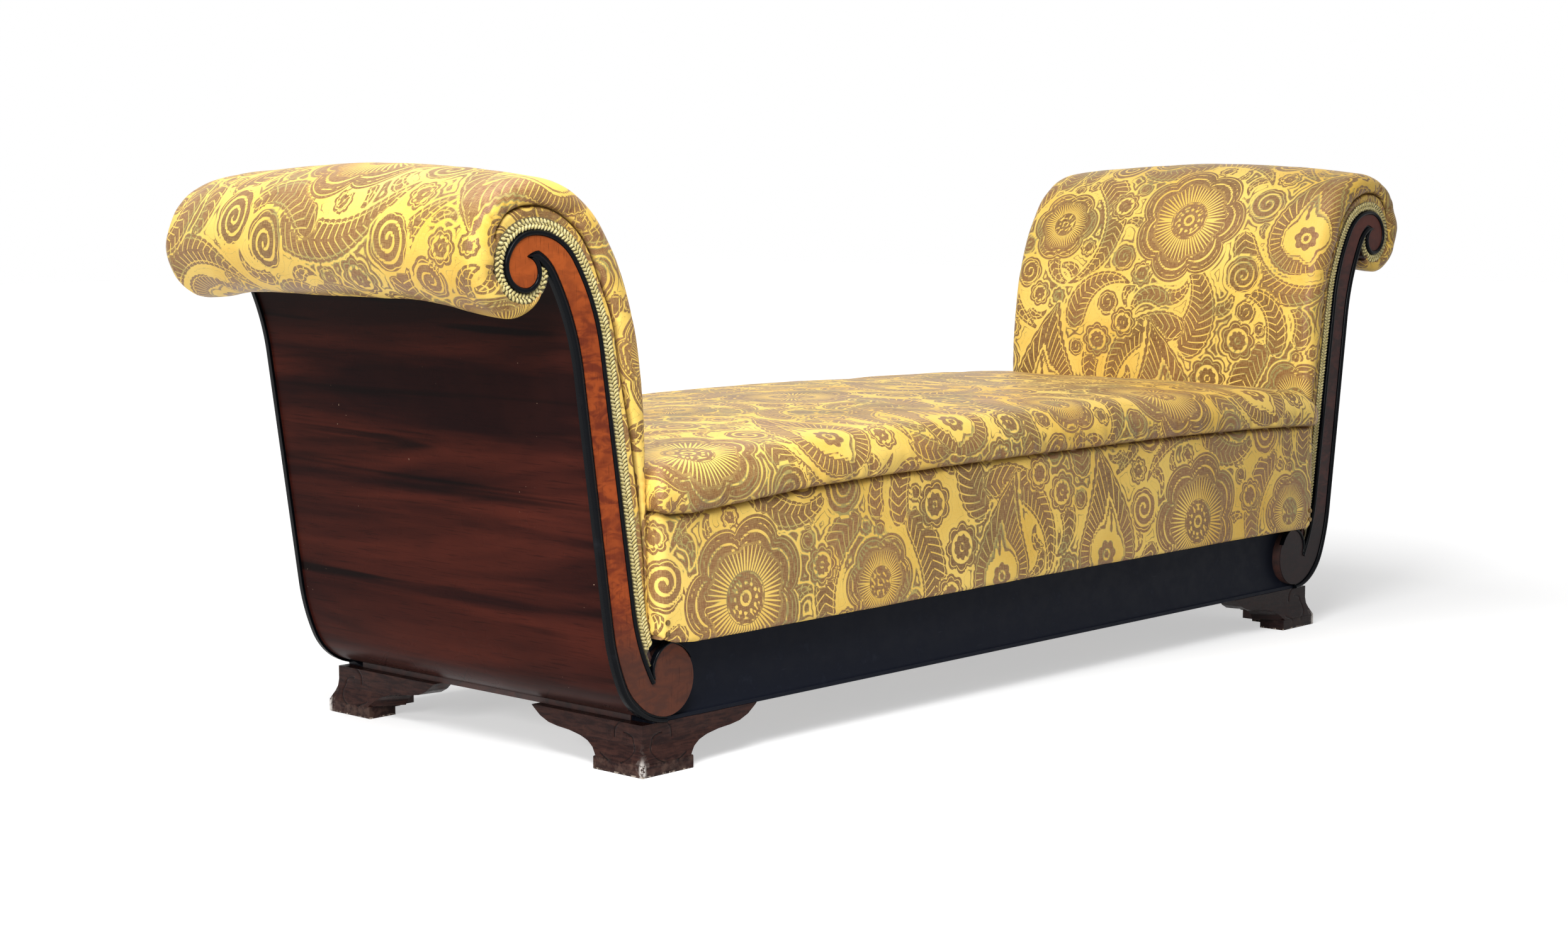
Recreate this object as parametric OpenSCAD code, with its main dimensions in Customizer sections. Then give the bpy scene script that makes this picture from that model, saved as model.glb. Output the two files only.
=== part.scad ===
// Double-ended recamier with scrolled ends, bracket feet and a lift-out sprung seat.
// Millimetres. X runs along the seat, -Y is the front and Z is up.
// The origin lies on the floor under the middle of the piece.

/* [Overall] */
// Length over the four feet
feet_len = 1710; // [1500:10:1900]
// Depth over the scrolled faces, front to back
face_depth = 692; // [620:4:760]
// How far the foot lips stand proud of the scrolled faces
foot_proud = 2.5; // [0:0.5:5]

/* [Feet] */
// Height of the feet
foot_h = 71; // [60:1:85]
// Height of the lip at the floor
foot_lip_h = 18.5; // [12:0.5:22]
// Length of the lip along each side
foot_lip_len = 99; // [90:1:120]
// Step from the end of the lip to the bracket above it
foot_lip_step = 4; // [2:0.5:8]
// Thickness of the bracket at the floor
foot_thick = 50; // [40:1:60]
// How far the upper part of the bracket lies behind the lip
foot_setback = 11; // [6:0.5:16]
// Side of the glue block in the corner of a foot
foot_block = 42; // [30:1:50]
// Height of the glue block above the floor
foot_block_lift = 12; // [8:1:20]
// Diameter of the screws that hold the feet
screw_d = 5; // [4:0.5:6]
// Length of those screws
screw_len = 90; // [80:1:100]
// Diameter of their heads
screw_head_d = 10; // [8:0.5:12]

/* [Base] */
// Thickness of the long rails
rail_t = 28; // [22:1:34]
// How far the upper face of the long rails lies behind the scrolled faces
rail_setback = 20; // [18:0.5:22]
// Height of the straight foot of the long rails
rail_plinth_h = 6; // [3:0.5:10]
// Height of the cove above it
rail_cove_h = 34; // [20:1:45]
// Thickness of the rails at the two ends
end_rail_t = 32; // [24:1:36]
// Height of the rails at the two ends
end_rail_h = 79; // [70:1:90]
// Width of the stretchers under the seat
stretcher_w = 60; // [40:1:80]
// Thickness of those stretchers
stretcher_t = 22; // [16:1:26]
// Height of the stretchers above the bottom of the rails
stretcher_lift = 40; // [30:1:60]
// Number of stretchers
stretcher_count = 3; // [2:1:4]
// Leg of the triangular blocks in the corners of the base
corner_leg = 80; // [66:1:90]

/* [Scrolled ends] */
// Height of a scroll, from its foot to the top of its curl
scroll_h = 682; // [640:2:720]
// Distance of the lower disc's centre from the end of the feet
disc_inset = 55; // [50:1:60]
// Thickness of the rear part of a scroll board
board_t = 31; // [26:1:36]
// Thickness of the raised band on the front of a scroll board
band_t = 4.5; // [3.5:0.5:5.5]
// Thickness of the veneered face
veneer_t = 1.2; // [0.8:0.1:1.5]
// Width of the ebonised bead on the outer edge
outer_bead_w = 13; // [10:0.5:15]
// Depth of that bead behind the scrolled face
outer_bead_d = 11; // [9:0.5:13]
// How far the beads stand proud of the veneer
bead_rise = 3.3; // [2.5:0.1:4]
// Width of the ebonised bead on the inner edge
inner_bead_w = 7; // [5:0.5:9]
// Width of the ebonised line round the disc
disc_bead_w = 5; // [3:0.5:6]
// Thickness of the outer panel
panel_t = 9; // [7:0.5:10]
// Diameter of the rail inside the curl
roll_rail_d = 50; // [40:1:52]
// Width of the rail half way up an end
mid_rail_w = 40; // [30:1:50]
// Thickness of that rail
mid_rail_t = 22; // [16:1:26]

/* [End upholstery] */
// Width of the woven trimming
gimp_w = 15.2; // [12:0.2:15.6]
// Thickness of the woven trimming
gimp_t = 3; // [2:0.2:3.5]
// Tacking margin of the scroll boards outside the inner bead
tack_w = 16; // [14:0.5:18]
// Thickness of the fabric borders
border_t = 1.8; // [1:0.1:2]
// Width of the rounded edge of the pads
edge_roll_w = 14; // [10:0.5:18]
// Thickness of a webbing strip
web_t = 2; // [1.5:0.1:2.2]
// Width of a webbing strip
web_w = 50; // [40:1:60]
// Thickness of the hessian
hessian_t = 1.5; // [1:0.1:1.8]
// Thickness of the padded cover over the stuffing
cover_t = 26; // [22:1:30]
// Crown of the pads along their top
pad_crown = 22; // [14:1:28]

/* [Seat] */
// Clearance between the seat and the end pads
seat_gap = 2; // [1.5:0.5:4]
// How far the seat's front stands proud of the scrolled faces
seat_proud = 15; // [12:1:20]
// Height of the flat border under the seam
border_h = 175; // [150:1:200]
// Height of the rolled edge above the seam
seat_roll_h = 62; // [50:1:72]
// How far the rolled edge bulges out over the border
seat_bulge = 9; // [5:1:12]
// Crown of the seat above its rolled edge
seat_crown = 36; // [20:1:44]
// Thickness of the padded borders
seat_border_t = 6; // [4:0.5:8]
// Width of the timbers of the seat box
seat_rail_w = 55; // [45:1:60]
// Height of those timbers
seat_rail_h = 45; // [35:1:55]
// Width of the cross rails of the seat box
seat_cross_w = 40; // [30:1:50]
// Width of the firm stuffed edge
seat_edge_w = 36; // [28:1:44]
// Diameter of the springs at their ends
spring_d = 68; // [56:1:76]
// Diameter of the springs at their waist
spring_waist_d = 44; // [34:1:50]
// Thickness of the spring envelopes
spring_wall = 3; // [2:0.5:4]
// Diameter of the corner tacks
tack_d = 8; // [6:0.5:10]

/* [Clearance] */
// Clearance between soft pieces and what they rest on
soft_gap = 0.3; // [0.2:0.1:0.5]

/* [Hidden] */

// Colours
mahogany = [0.20, 0.10, 0.07];
flame_mahogany = [0.50, 0.22, 0.10];
ebony = [0.07, 0.08, 0.11];
foot_brown = [0.20, 0.12, 0.10];
beech = [0.72, 0.56, 0.38];
gold = [0.80, 0.64, 0.22];
trim_green = [0.76, 0.74, 0.52];
jute = [0.66, 0.54, 0.36];
hair = [0.33, 0.27, 0.20];
steel = [0.45, 0.45, 0.46];

// Largest turn between two points of a curve, in degrees
arc_step = 8;
// How far a soft form may lie off its true curve
form_sag = 0.3;
$fn = 48;

// Main planes
face_y = face_depth / 2;
foot_x = feet_len / 2;
foot_y = face_y + foot_proud;
// Height of the long rails, as a share of the scroll's height
rail_h_share = 0.1745;
rail_h = rail_h_share * scroll_h;
seat_base_z = foot_h + rail_h;
rail_front_y = face_y - rail_setback;
rail_back_y = rail_front_y - rail_t;
rail_plinth_y = foot_y - foot_setback;
scroll_x = foot_x - disc_inset;
band_y = face_y - veneer_t - bead_rise;
board_front_y = band_y - band_t;
board_back_y = board_front_y - board_t;
bead_back_y = face_y - outer_bead_d;

// Scroll outline in shares of the scroll's height: legs are [radius, turn] or [length, 0]
outer_start_share = [0.003, 0];
outer_leg_shares = [[0.139, 66], [0.455, 16], [0.516, 0], [0.535, -22.5], [0.081, -51]];
inner_start_share = [0.035, 0.088];
inner_heading = 60;
inner_leg_shares = [
    [0.44, 21.5], [0.528, 0], [0.44, -25.5], [0.1246, -62], [0.0748, -63], [0.0528, -111],
    [0.0396, -152]
];
disc_r_share = 0.0748;
disc_lift_share = 0.0865;
notch_angle = 12;
notch_r_share = 0.46;
round_angle = 100;

// Width of the outer bead along its legs
outer_bead_shares = [[0, 0.6], [0.6, 1], [4.7, 1], [5, 0]];
// Where the boards, panels and trimmings that follow the scroll start and end along its legs
panel_from_share = 0.28;
panel_to_share = 4.55;
back_outer_to_share = 4.5;
back_inner_to_share = 6.35;
gimp_from_share = 0.12;
gimp_to_share = 6.42;

// Outer surface of an end pad, in shares of the scroll's height
pad_x_share = 0.0469;
pad_leg_shares = [[0.446, 0], [0.792, -20], [0.446, -20], [0.205, -80], [0.1305, -122], [0.0733, -83]];
pad_heading = 90;
// Positions along the pad's outer surface, and the positions along the scroll's inner edge that they face
pad_line_marks = [0.08, 0.35, 0.6, 0.8, 1];
facing_marks = [[0.08, 0.79], [0.16, 1], [1, 1.72], [2, 2.45], [3, 3.1], [4, 4.38], [5, 5.75], [6, 6.36]];
pad_crown_shares = [
    [0, 0], [0.6, 0], [1, 0.03], [1.5, 0.25], [2, 0.36], [3, 0.5], [3.6, 0.95], [4.1, 1], [4.5, 0.7], [5, -0.6],
    [5.4, -1], [6, -0.4]
];
// Insets of the rounded edge, as [share of the edge roll's width inset, share of it from the end]
edge_roll_shares = [[1, 0], [0.4, 0.25], [0.1, 0.7], [0, 1.4]];
// Seam of the border below the rounded edge
border_seam_shares = [[0, 0.3], [1, 1], [6, 1]];
border_from_share = 0.12;
border_to_share = 4.35;
border_inner_from_share = 0.5;
border_inner_to_share = 4.6;

rail_end_share = 0.51;
scroll_origin = [scroll_x, foot_h];
disc_centre = [scroll_x, foot_h + disc_lift_share * scroll_h];
disc_r = disc_r_share * scroll_h;
pad_x = scroll_x + pad_x_share * scroll_h;
rail_half = scroll_x + rail_end_share * disc_inset;

// Seat planes
seat_half_x = pad_x - seat_gap;
seat_half_y = face_y + seat_proud;
seam_z = seat_base_z + border_h;
seat_frame_x = seat_half_x - seat_border_t;
seat_frame_y = seat_half_y - seat_border_t;

// Curves

// A leg starts at s = [x, z, heading] and is followed to the share f of its length
function leg_point(s, leg, size, f) =
    let (r = leg[0] * size, t = leg[1] * f, g = sign(leg[1]))
    leg[1] == 0
        ? [s[0] + f * r * cos(s[2]), s[1] + f * r * sin(s[2]), s[2]]
        : [s[0] + g * r * (sin(s[2] + t) - sin(s[2])), s[1] - g * r * (cos(s[2] + t) - cos(s[2])), s[2] + t];

function leg_starts(s, legs, size, i = 0) =
    i >= len(legs) ? [] : concat([s], leg_starts(leg_point(s, legs[i], size, 1), legs, size, i + 1));

// Positions along the legs: whole numbers at their ends
function marks(legs, step) = concat([0], [
    for (i = [0:len(legs) - 1])
        let (n = max(1, ceil(abs(legs[i][1]) / step)))
        for (k = [1:n]) i + k / n
]);

// A path's points are [x, z, heading, position along its legs]
function points_at(start, h, legs, size, places) =
    let (starts = leg_starts([start[0], start[1], h], legs, size))
    [for (m = places)
        let (i = min(floor(m), len(legs) - 1))
        concat(leg_point(starts[i], legs[i], size, m - i), [m])];

// Positions with finer steps on wider curves, so that no chord lies further than sag off its arc
function fine_marks(legs, size, sag) = concat([0], [
    for (i = [0:len(legs) - 1])
        let (n = max(1, ceil(abs(legs[i][1]) / (2 * acos(1 - sag / (legs[i][0] * size))))))
        for (k = [1:n]) i + k / n
]);

function path(start, h, legs, size, step) = points_at(start, h, legs, size, marks(legs, step));

function between(p, from, to) = [for (q = p) if (q[3] >= from && q[3] <= to) q];

// Points moved to the left of the path by a width that may vary along it
function beside(p, w, shares = [[0, 1], [1, 1]]) =
    [for (q = p) let (d = w * lookup(q[3], shares)) [q[0] - d * sin(q[2]), q[1] + d * cos(q[2])]];

function reversed(p) = [for (i = [len(p) - 1:-1:0]) p[i]];

function strip_outline(a, b) = concat(a, reversed(b));

outer_start = scroll_origin + outer_start_share * scroll_h;
inner_start = scroll_origin + inner_start_share * scroll_h;
function outer_path() = path(outer_start, 0, outer_leg_shares, scroll_h, arc_step);
function inner_path() = path(inner_start, inner_heading, inner_leg_shares, scroll_h, arc_step);
function pad_path() = path([pad_x, seat_base_z], pad_heading, pad_leg_shares, scroll_h, arc_step);

// The disc's edge, which draws in to the notch
function disc_points(grow) = [
    for (a = [notch_angle:arc_step:270])
        let (k = min(1, (a - notch_angle) / (round_angle - notch_angle)))
        disc_centre + (disc_r * (notch_r_share + (1 - notch_r_share) * k) + grow) * [cos(a), sin(a)]
];

// Placing

module xz_plate(y0, y1) {
    translate([0, y1, 0]) rotate([90, 0, 0]) linear_extrude(y1 - y0) children();
}

module yz_bar(x0, x1) {
    translate([x0, 0, 0]) rotate([90, 0, 90]) linear_extrude(x1 - x0) children();
}

module place(end, side) {
    if (end < 0 && side < 0) rotate([0, 0, 180]) children();
    else if (end < 0) mirror([1, 0, 0]) children();
    else if (side < 0) mirror([0, 1, 0]) children();
    else children();
}

module at_ends() {
    place(1, 1) children();
    place(-1, 1) children();
}

module at_sides() {
    place(1, 1) children();
    place(1, -1) children();
}

module at_corners() {
    at_sides() children();
    place(-1, 1) children();
    place(-1, -1) children();
}

// Scroll outlines

module facing_outline() {
    polygon(concat(
        beside(outer_path(), outer_bead_w, outer_bead_shares),
        reversed(beside(inner_path(), -inner_bead_w)),
        disc_points(0)
    ));
}

module back_outline() {
    polygon(concat(
        beside(between(outer_path(), 0, back_outer_to_share), outer_bead_w, outer_bead_shares),
        reversed(beside(between(inner_path(), 0, back_inner_to_share), tack_w))
    ));
    polygon(disc_points(0));
}

module outer_bead_outline() {
    polygon(strip_outline(beside(outer_path(), 0), beside(outer_path(), outer_bead_w, outer_bead_shares)));
}

module inner_bead_outline() {
    difference() {
        union() {
            polygon(strip_outline(beside(inner_path(), 0), beside(inner_path(), -inner_bead_w)));
            polygon(strip_outline(disc_points(0), disc_points(disc_bead_w)));
        }
        facing_outline();
        outer_bead_outline();
    }
}

module whole_outline() {
    back_outline();
    outer_bead_outline();
}

module panel_outline() {
    run = between(outer_path(), panel_from_share, panel_to_share);
    polygon(strip_outline(
        beside(run, outer_bead_w - panel_t),
        beside(run, outer_bead_w, outer_bead_shares)
    ));
}

// Base

module rail_section() {
    polygon(concat(
        [[rail_back_y, foot_h], [rail_plinth_y, foot_h], [rail_plinth_y, foot_h + rail_plinth_h]],
        [for (a = [arc_step:arc_step:90])
            [rail_front_y + (rail_plinth_y - rail_front_y) * (1 - sin(a)),
             foot_h + rail_plinth_h + rail_cove_h * (1 - cos(a))]],
        [
            [rail_front_y, foot_h + rail_plinth_h + rail_cove_h],
            [rail_front_y, seat_base_z],
            [rail_back_y, seat_base_z]
        ]
    ));
}

module long_rail() {
    difference() {
        yz_bar(-rail_half, rail_half) rail_section();
        at_ends() xz_plate(rail_front_y, foot_y) whole_outline();
        at_ends() xz_plate(board_front_y, foot_y) inner_bead_outline();
    }
}

module end_rail() {
    translate([rail_half - end_rail_t, -rail_back_y, foot_h]) cube([end_rail_t, 2 * rail_back_y, end_rail_h]);
}

module front_rail() {
    color(ebony) place(1, -1) long_rail();
}

module back_rail() {
    color(ebony) long_rail();
}

module left_end_rail() {
    color(beech) place(-1, 1) end_rail();
}

module right_end_rail() {
    color(beech) end_rail();
}

module cross_stretchers() {
    inner_half = rail_half - end_rail_t;
    bay = 2 * inner_half / (stretcher_count + 1);
    color(beech) for (i = [1:stretcher_count])
        translate([i * bay - inner_half - stretcher_w / 2, -rail_back_y, foot_h + stretcher_lift])
            cube([stretcher_w, 2 * rail_back_y, stretcher_t]);
}

module corner_block() {
    corner = [rail_half - end_rail_t, rail_back_y];
    difference() {
        translate([0, 0, foot_h]) linear_extrude(end_rail_h)
            polygon([corner, corner - [corner_leg, 0], corner - [0, corner_leg]]);
        foot_screw_hole();
    }
}

module corner_blocks() {
    color(beech) at_corners() corner_block();
}

// Feet: a is the distance from the corner along the foot and t the depth behind its face

foot_rise = foot_h - foot_lip_h;
foot_heading = 60;
foot_leg_shares = [[0.627, -36], [2.857, -22], [5.486, 6], [1.25, 40]];
foot_cove_shares = [[0, 0], [0.12, 0.04], [0.3, 0.12], [0.62, 0.25], [0.88, 0.4], [1, 0.6]];

module foot_side_outline() {
    curve = path([foot_lip_len - foot_lip_step, foot_lip_h], foot_heading, foot_leg_shares, foot_rise, arc_step);
    tip = curve[len(curve) - 1];
    polygon(concat(
        [[0, 0], [foot_lip_len, 0], [foot_lip_len, foot_lip_h]],
        [for (q = curve) [q[0], q[1]]],
        [[tip[0], foot_h], [0, foot_h]]
    ));
}

module foot_section() {
    polygon(concat(
        [[0, 0]],
        [for (s = foot_cove_shares) [s[0] * foot_setback, foot_lip_h + s[1] * foot_rise]],
        [[foot_setback, foot_h], [foot_thick, foot_h], [foot_thick, 0]]
    ));
}

module foot_wing() {
    reach = 2 * foot_lip_len + 2 * foot_rise;
    intersection() {
        xz_plate(0, foot_thick) foot_side_outline();
        yz_bar(0, reach) foot_section();
        linear_extrude(foot_h) polygon([[0, 0], [reach, 0], [reach, foot_thick], [foot_thick, foot_thick]]);
    }
}

module in_foot_corner() {
    translate([foot_x, foot_y, 0]) rotate([0, 0, 180]) children();
}

module foot() {
    in_foot_corner() {
        foot_wing();
        mirror([1, -1, 0]) foot_wing();
    }
}

module front_left_foot() {
    color(foot_brown) place(-1, -1) foot();
}

module front_right_foot() {
    color(foot_brown) place(1, -1) foot();
}

module back_left_foot() {
    color(foot_brown) place(-1, 1) foot();
}

module back_right_foot() {
    color(foot_brown) foot();
}

// The screw goes up through the glue block into the corner block
screw_place_share = 0.66;
screw_in = foot_thick + screw_place_share * foot_block;

module in_foot_screw() {
    in_foot_corner() translate([screw_in, screw_in, foot_block_lift]) children();
}

module foot_screw_hole() {
    in_foot_screw() cylinder(h = screw_len, d = screw_d);
    in_foot_screw() cylinder(h = screw_d / 2, d = screw_head_d);
}

module foot_blocks() {
    color(beech) at_corners() difference() {
        in_foot_corner() translate([foot_thick, foot_thick, foot_block_lift])
            cube([foot_block, foot_block, foot_h - foot_block_lift]);
        foot_screw_hole();
    }
}

module foot_screws() {
    color(steel) at_corners() in_foot_screw() {
        cylinder(h = screw_len, d = screw_d);
        cylinder(h = screw_d / 2, d = screw_head_d);
    }
}

// Scroll boards and their faces

module scroll_board() {
    difference() {
        union() {
            xz_plate(board_back_y, bead_back_y) difference() {
                back_outline();
                panel_outline();
            }
            xz_plate(bead_back_y, board_front_y) difference() {
                back_outline();
                outer_bead_outline();
            }
            xz_plate(board_front_y, band_y) facing_outline();
        }
        cube([rail_half, rail_front_y, seat_base_z]);
    }
}

module left_front_scroll_board() {
    color(mahogany) place(-1, -1) scroll_board();
}

module left_back_scroll_board() {
    color(mahogany) place(-1, 1) scroll_board();
}

module right_front_scroll_board() {
    color(mahogany) place(1, -1) scroll_board();
}

module right_back_scroll_board() {
    color(mahogany) scroll_board();
}

module veneer() {
    xz_plate(band_y, band_y + veneer_t) facing_outline();
}

module left_front_veneer() {
    color(flame_mahogany) place(-1, -1) veneer();
}

module left_back_veneer() {
    color(flame_mahogany) place(-1, 1) veneer();
}

module right_front_veneer() {
    color(flame_mahogany) place(1, -1) veneer();
}

module right_back_veneer() {
    color(flame_mahogany) veneer();
}

module outer_bead() {
    xz_plate(bead_back_y, face_y) outer_bead_outline();
}

module left_front_outer_bead() {
    color(ebony) place(-1, -1) outer_bead();
}

module left_back_outer_bead() {
    color(ebony) place(-1, 1) outer_bead();
}

module right_front_outer_bead() {
    color(ebony) place(1, -1) outer_bead();
}

module right_back_outer_bead() {
    color(ebony) outer_bead();
}

module inner_bead() {
    xz_plate(board_front_y, face_y - soft_gap) inner_bead_outline();
}

module left_front_inner_bead() {
    color(ebony) place(-1, -1) inner_bead();
}

module left_back_inner_bead() {
    color(ebony) place(-1, 1) inner_bead();
}

module right_front_inner_bead() {
    color(ebony) place(1, -1) inner_bead();
}

module right_back_inner_bead() {
    color(ebony) inner_bead();
}

// Panels and hidden rails of the ends

module outer_panel() {
    xz_plate(-bead_back_y, bead_back_y) panel_outline();
}

module left_outer_panel() {
    color(mahogany) place(-1, 1) outer_panel();
}

module right_outer_panel() {
    color(mahogany) outer_panel();
}

curl_centre_share = [0.381, 0.9262];
curl_centre = scroll_origin + curl_centre_share * scroll_h;

module arm_roll_rails() {
    color(beech) at_ends() translate([curl_centre[0], board_back_y, curl_centre[1]])
        rotate([90, 0, 0]) cylinder(h = 2 * board_back_y, d = roll_rail_d);
}

// Frame of the straight stretch: local z runs up the inner edge and local x points outwards
module on_inner_edge() {
    edge = between(inner_path(), 1, 2)[0];
    translate([edge[0], 0, edge[1]]) rotate([0, 90 - edge[2], 0]) children();
}

edge_run = inner_leg_shares[1][0] * scroll_h;

module arm_mid_rails() {
    color(beech) at_ends() on_inner_edge()
        translate([-tack_w, -board_back_y, (edge_run - mid_rail_w) / 2])
            cube([mid_rail_t, 2 * board_back_y, mid_rail_w]);
}

// Pitch of the strips, in shares of their width
web_side_share = 1.5;
web_up_share = 2.4;

module arm_webbing() {
    count = floor(edge_run / (web_side_share * web_w));
    pitch = (edge_run - web_w) / (count - 1);
    across = floor(2 * board_back_y / (web_up_share * web_w));
    across_pitch = (2 * board_back_y - web_w) / (across - 1);
    on_inner_edge() {
        for (i = [0:count - 1])
            translate([-tack_w - web_t, -board_front_y, i * pitch])
                cube([web_t, 2 * board_front_y, web_w]);
        for (i = [0:across - 1])
            translate([-tack_w - 2 * web_t, i * across_pitch - board_back_y, 0])
                cube([web_t, web_w, edge_run]);
    }
}

module left_arm_webbing() {
    color(jute) place(-1, 1) arm_webbing();
}

module right_arm_webbing() {
    color(jute) arm_webbing();
}

// Positions along the legs where the hessian and the stuffing start and end
hessian_from_share = 0.5;
hessian_to_share = 5.3;
stuffing_from_share = 0.35;
stuffing_to_share = 4.9;
stuffing_inner_from_share = 1;
stuffing_inner_to_share = 5.2;
hessian_in = tack_w + 2 * web_t;
pad_in = hessian_in + hessian_t + 2 * soft_gap;

module arm_hessians() {
    run = between(inner_path(), hessian_from_share, hessian_to_share);
    color(jute) at_ends() xz_plate(-board_front_y, board_front_y)
        polygon(strip_outline(beside(run, hessian_in), beside(run, hessian_in + hessian_t)));
}

// End pads

module frame_core_outline() {
    polygon(concat(
        beside(between(inner_path(), 0, back_inner_to_share), pad_in),
        reversed(beside(between(outer_path(), 0, back_outer_to_share), 0))
    ));
}

module hollow_outline(grow) {
    polygon(concat(
        beside(between(pad_path(), stuffing_from_share, stuffing_to_share), grow - cover_t),
        reversed(beside(between(inner_path(), stuffing_inner_from_share, stuffing_inner_to_share), 0))
    ));
}

module arm_stuffing() {
    xz_plate(-board_back_y, board_back_y) difference() {
        hollow_outline(0);
        frame_core_outline();
    }
}

module left_arm_stuffing() {
    color(hair) place(-1, 1) arm_stuffing();
}

module right_arm_stuffing() {
    color(hair) arm_stuffing();
}

// Where the crown of a pad is measured across it, and its height there
crown_shares = [[0.62, 0.62], [0.3, 0.91]];

// Stations across a pad: [place across, inset of the outer surface, share of the crown]
function pad_stations() =
    let (
        rim = [for (s = edge_roll_shares) [board_front_y - s[1] * edge_roll_w, s[0] * edge_roll_w, 0]],
        half = concat(rim, [for (s = crown_shares) [s[0] * board_front_y, 0, s[1]]])
    )
    concat([for (s = half) [-s[0], s[1], s[2]]], [[0, 0, 1]], reversed(half));

function pad_ring(y, inset, crown) =
    let (
        places = concat(pad_line_marks, [for (m = fine_marks(pad_leg_shares, scroll_h, form_sag)) if (m > 1) m]),
        surface = points_at([pad_x, seat_base_z], pad_heading, pad_leg_shares, scroll_h, places),
        under = [for (m = places) lookup(m, facing_marks)],
        back = points_at(inner_start, inner_heading, inner_leg_shares, scroll_h, under),
        lift = [for (q = surface) crown * pad_crown * lookup(q[3], pad_crown_shares)],
        outer = [for (i = [0:len(surface) - 1])
            let (q = surface[i], d = inset * lookup(q[3], border_seam_shares) - lift[i])
            [q[0] + d * sin(q[2]), y, q[1] - d * cos(q[2])]],
        inner = [for (i = [0:len(back) - 1])
            let (q = back[i], d = pad_in + min(0, lift[i]))
            [q[0] - d * sin(q[2]), y, q[1] + d * cos(q[2])]]
    )
    concat(outer, reversed(inner));

// A skin over rings of equal length, with its ends closed between the two runs of each ring
module skin(rings) {
    n = len(rings[0]);
    m = len(rings);
    half = n / 2;
    points = [for (r = rings) each r];
    sides = [for (j = [0:m - 2], i = [0:n - 1])
        let (a = j * n + i, b = j * n + (i + 1) % n)
        each [[a, b, b + n], [a, b + n, a + n]]];
    first = [for (i = [0:half - 2]) each [[i, n - 1 - i, i + 1], [i + 1, n - 1 - i, n - 2 - i]]];
    last = [for (f = first) [(m - 1) * n + f[0], (m - 1) * n + f[2], (m - 1) * n + f[1]]];
    polyhedron(points, concat(sides, first, last));
}

module arm_cover() {
    difference() {
        skin([for (s = pad_stations()) pad_ring(s[0], s[1], s[2])]);
        xz_plate(-(board_back_y + soft_gap), board_back_y + soft_gap) hollow_outline(soft_gap);
    }
}

module left_arm_cover() {
    color(gold) place(-1, 1) arm_cover();
}

module right_arm_cover() {
    color(gold) arm_cover();
}

module pad_border() {
    seam = beside(between(pad_path(), border_from_share, border_to_share), -edge_roll_w, border_seam_shares);
    edge = beside(between(inner_path(), border_inner_from_share, border_inner_to_share), gimp_w / 2);
    xz_plate(board_front_y, board_front_y + border_t) difference() {
        polygon(strip_outline(seam, edge));
        inner_bead_outline();
        facing_outline();
    }
}

module left_front_border() {
    color(gold) place(-1, -1) pad_border();
}

module left_back_border() {
    color(gold) place(-1, 1) pad_border();
}

module right_front_border() {
    color(gold) place(1, -1) pad_border();
}

module right_back_border() {
    color(gold) pad_border();
}

module gimp() {
    run = between(inner_path(), gimp_from_share, gimp_to_share);
    xz_plate(board_front_y + border_t, board_front_y + border_t + gimp_t) difference() {
        polygon(strip_outline(beside(run, gimp_w), beside(run, 0)));
        whole_bead_outline();
        facing_outline();
    }
}

module whole_bead_outline() {
    outer_bead_outline();
    inner_bead_outline();
}

module left_front_gimp() {
    color(trim_green) place(-1, -1) gimp();
}

module left_back_gimp() {
    color(trim_green) place(-1, 1) gimp();
}

module right_front_gimp() {
    color(trim_green) place(1, -1) gimp();
}

module right_back_gimp() {
    color(trim_green) gimp();
}

// Seat box

module seat_long_rails() {
    color(beech) at_sides() translate([-seat_frame_x, seat_frame_y - seat_rail_w, seat_base_z])
        cube([2 * seat_frame_x, seat_rail_w, seat_rail_h]);
}

module seat_end_rails() {
    color(beech) at_ends() translate([seat_frame_x - seat_rail_w, -(seat_frame_y - seat_rail_w), seat_base_z])
        cube([seat_rail_w, 2 * (seat_frame_y - seat_rail_w), seat_rail_h]);
}

seat_well_x = seat_frame_x - seat_rail_w;
seat_well_y = seat_frame_y - seat_rail_w;
seat_web_z = seat_base_z + soft_gap;
spring_z = seat_web_z + 2 * web_t + soft_gap;
seat_web_share = 2;
cross_count = 2;
bay_x = 2 * seat_well_x / (cross_count + 1);

module seat_cross_rails() {
    color(beech) for (i = [1:cross_count])
        translate([-seat_well_x + i * bay_x - seat_cross_w / 2, -seat_well_y, spring_z])
            cube([seat_cross_w, 2 * seat_well_y, seat_base_z + seat_rail_h - spring_z]);
}

module seat_webbing() {
    long_count = floor(2 * seat_well_y / (seat_web_share * web_w));
    long_pitch = (2 * seat_well_y - web_w) / (long_count - 1);
    short_count = floor(2 * seat_well_x / (seat_web_share * web_w));
    short_pitch = (2 * seat_well_x - web_w) / (short_count - 1);
    color(jute) {
        for (i = [0:long_count - 1])
            translate([-seat_well_x, i * long_pitch - seat_well_y, seat_web_z])
                cube([2 * seat_well_x, web_w, web_t]);
        for (i = [0:short_count - 1])
            translate([i * short_pitch - seat_well_x, -seat_well_y, seat_web_z + web_t])
                cube([web_w, 2 * seat_well_y, web_t]);
    }
}

seat_hessian_z = seam_z - hessian_t - soft_gap;
spring_rows = 3;
springs_per_bay = 3;

module spring() {
    h = seat_hessian_z - spring_z;
    d = spring_d / 2;
    w = spring_waist_d / 2;
    t = [spring_wall, 0];
    rotate_extrude() polygon([[d, 0] - t, [d, 0], [w, h / 2], [d, h], [d, h] - t, [w, h / 2] - t]);
}

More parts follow.
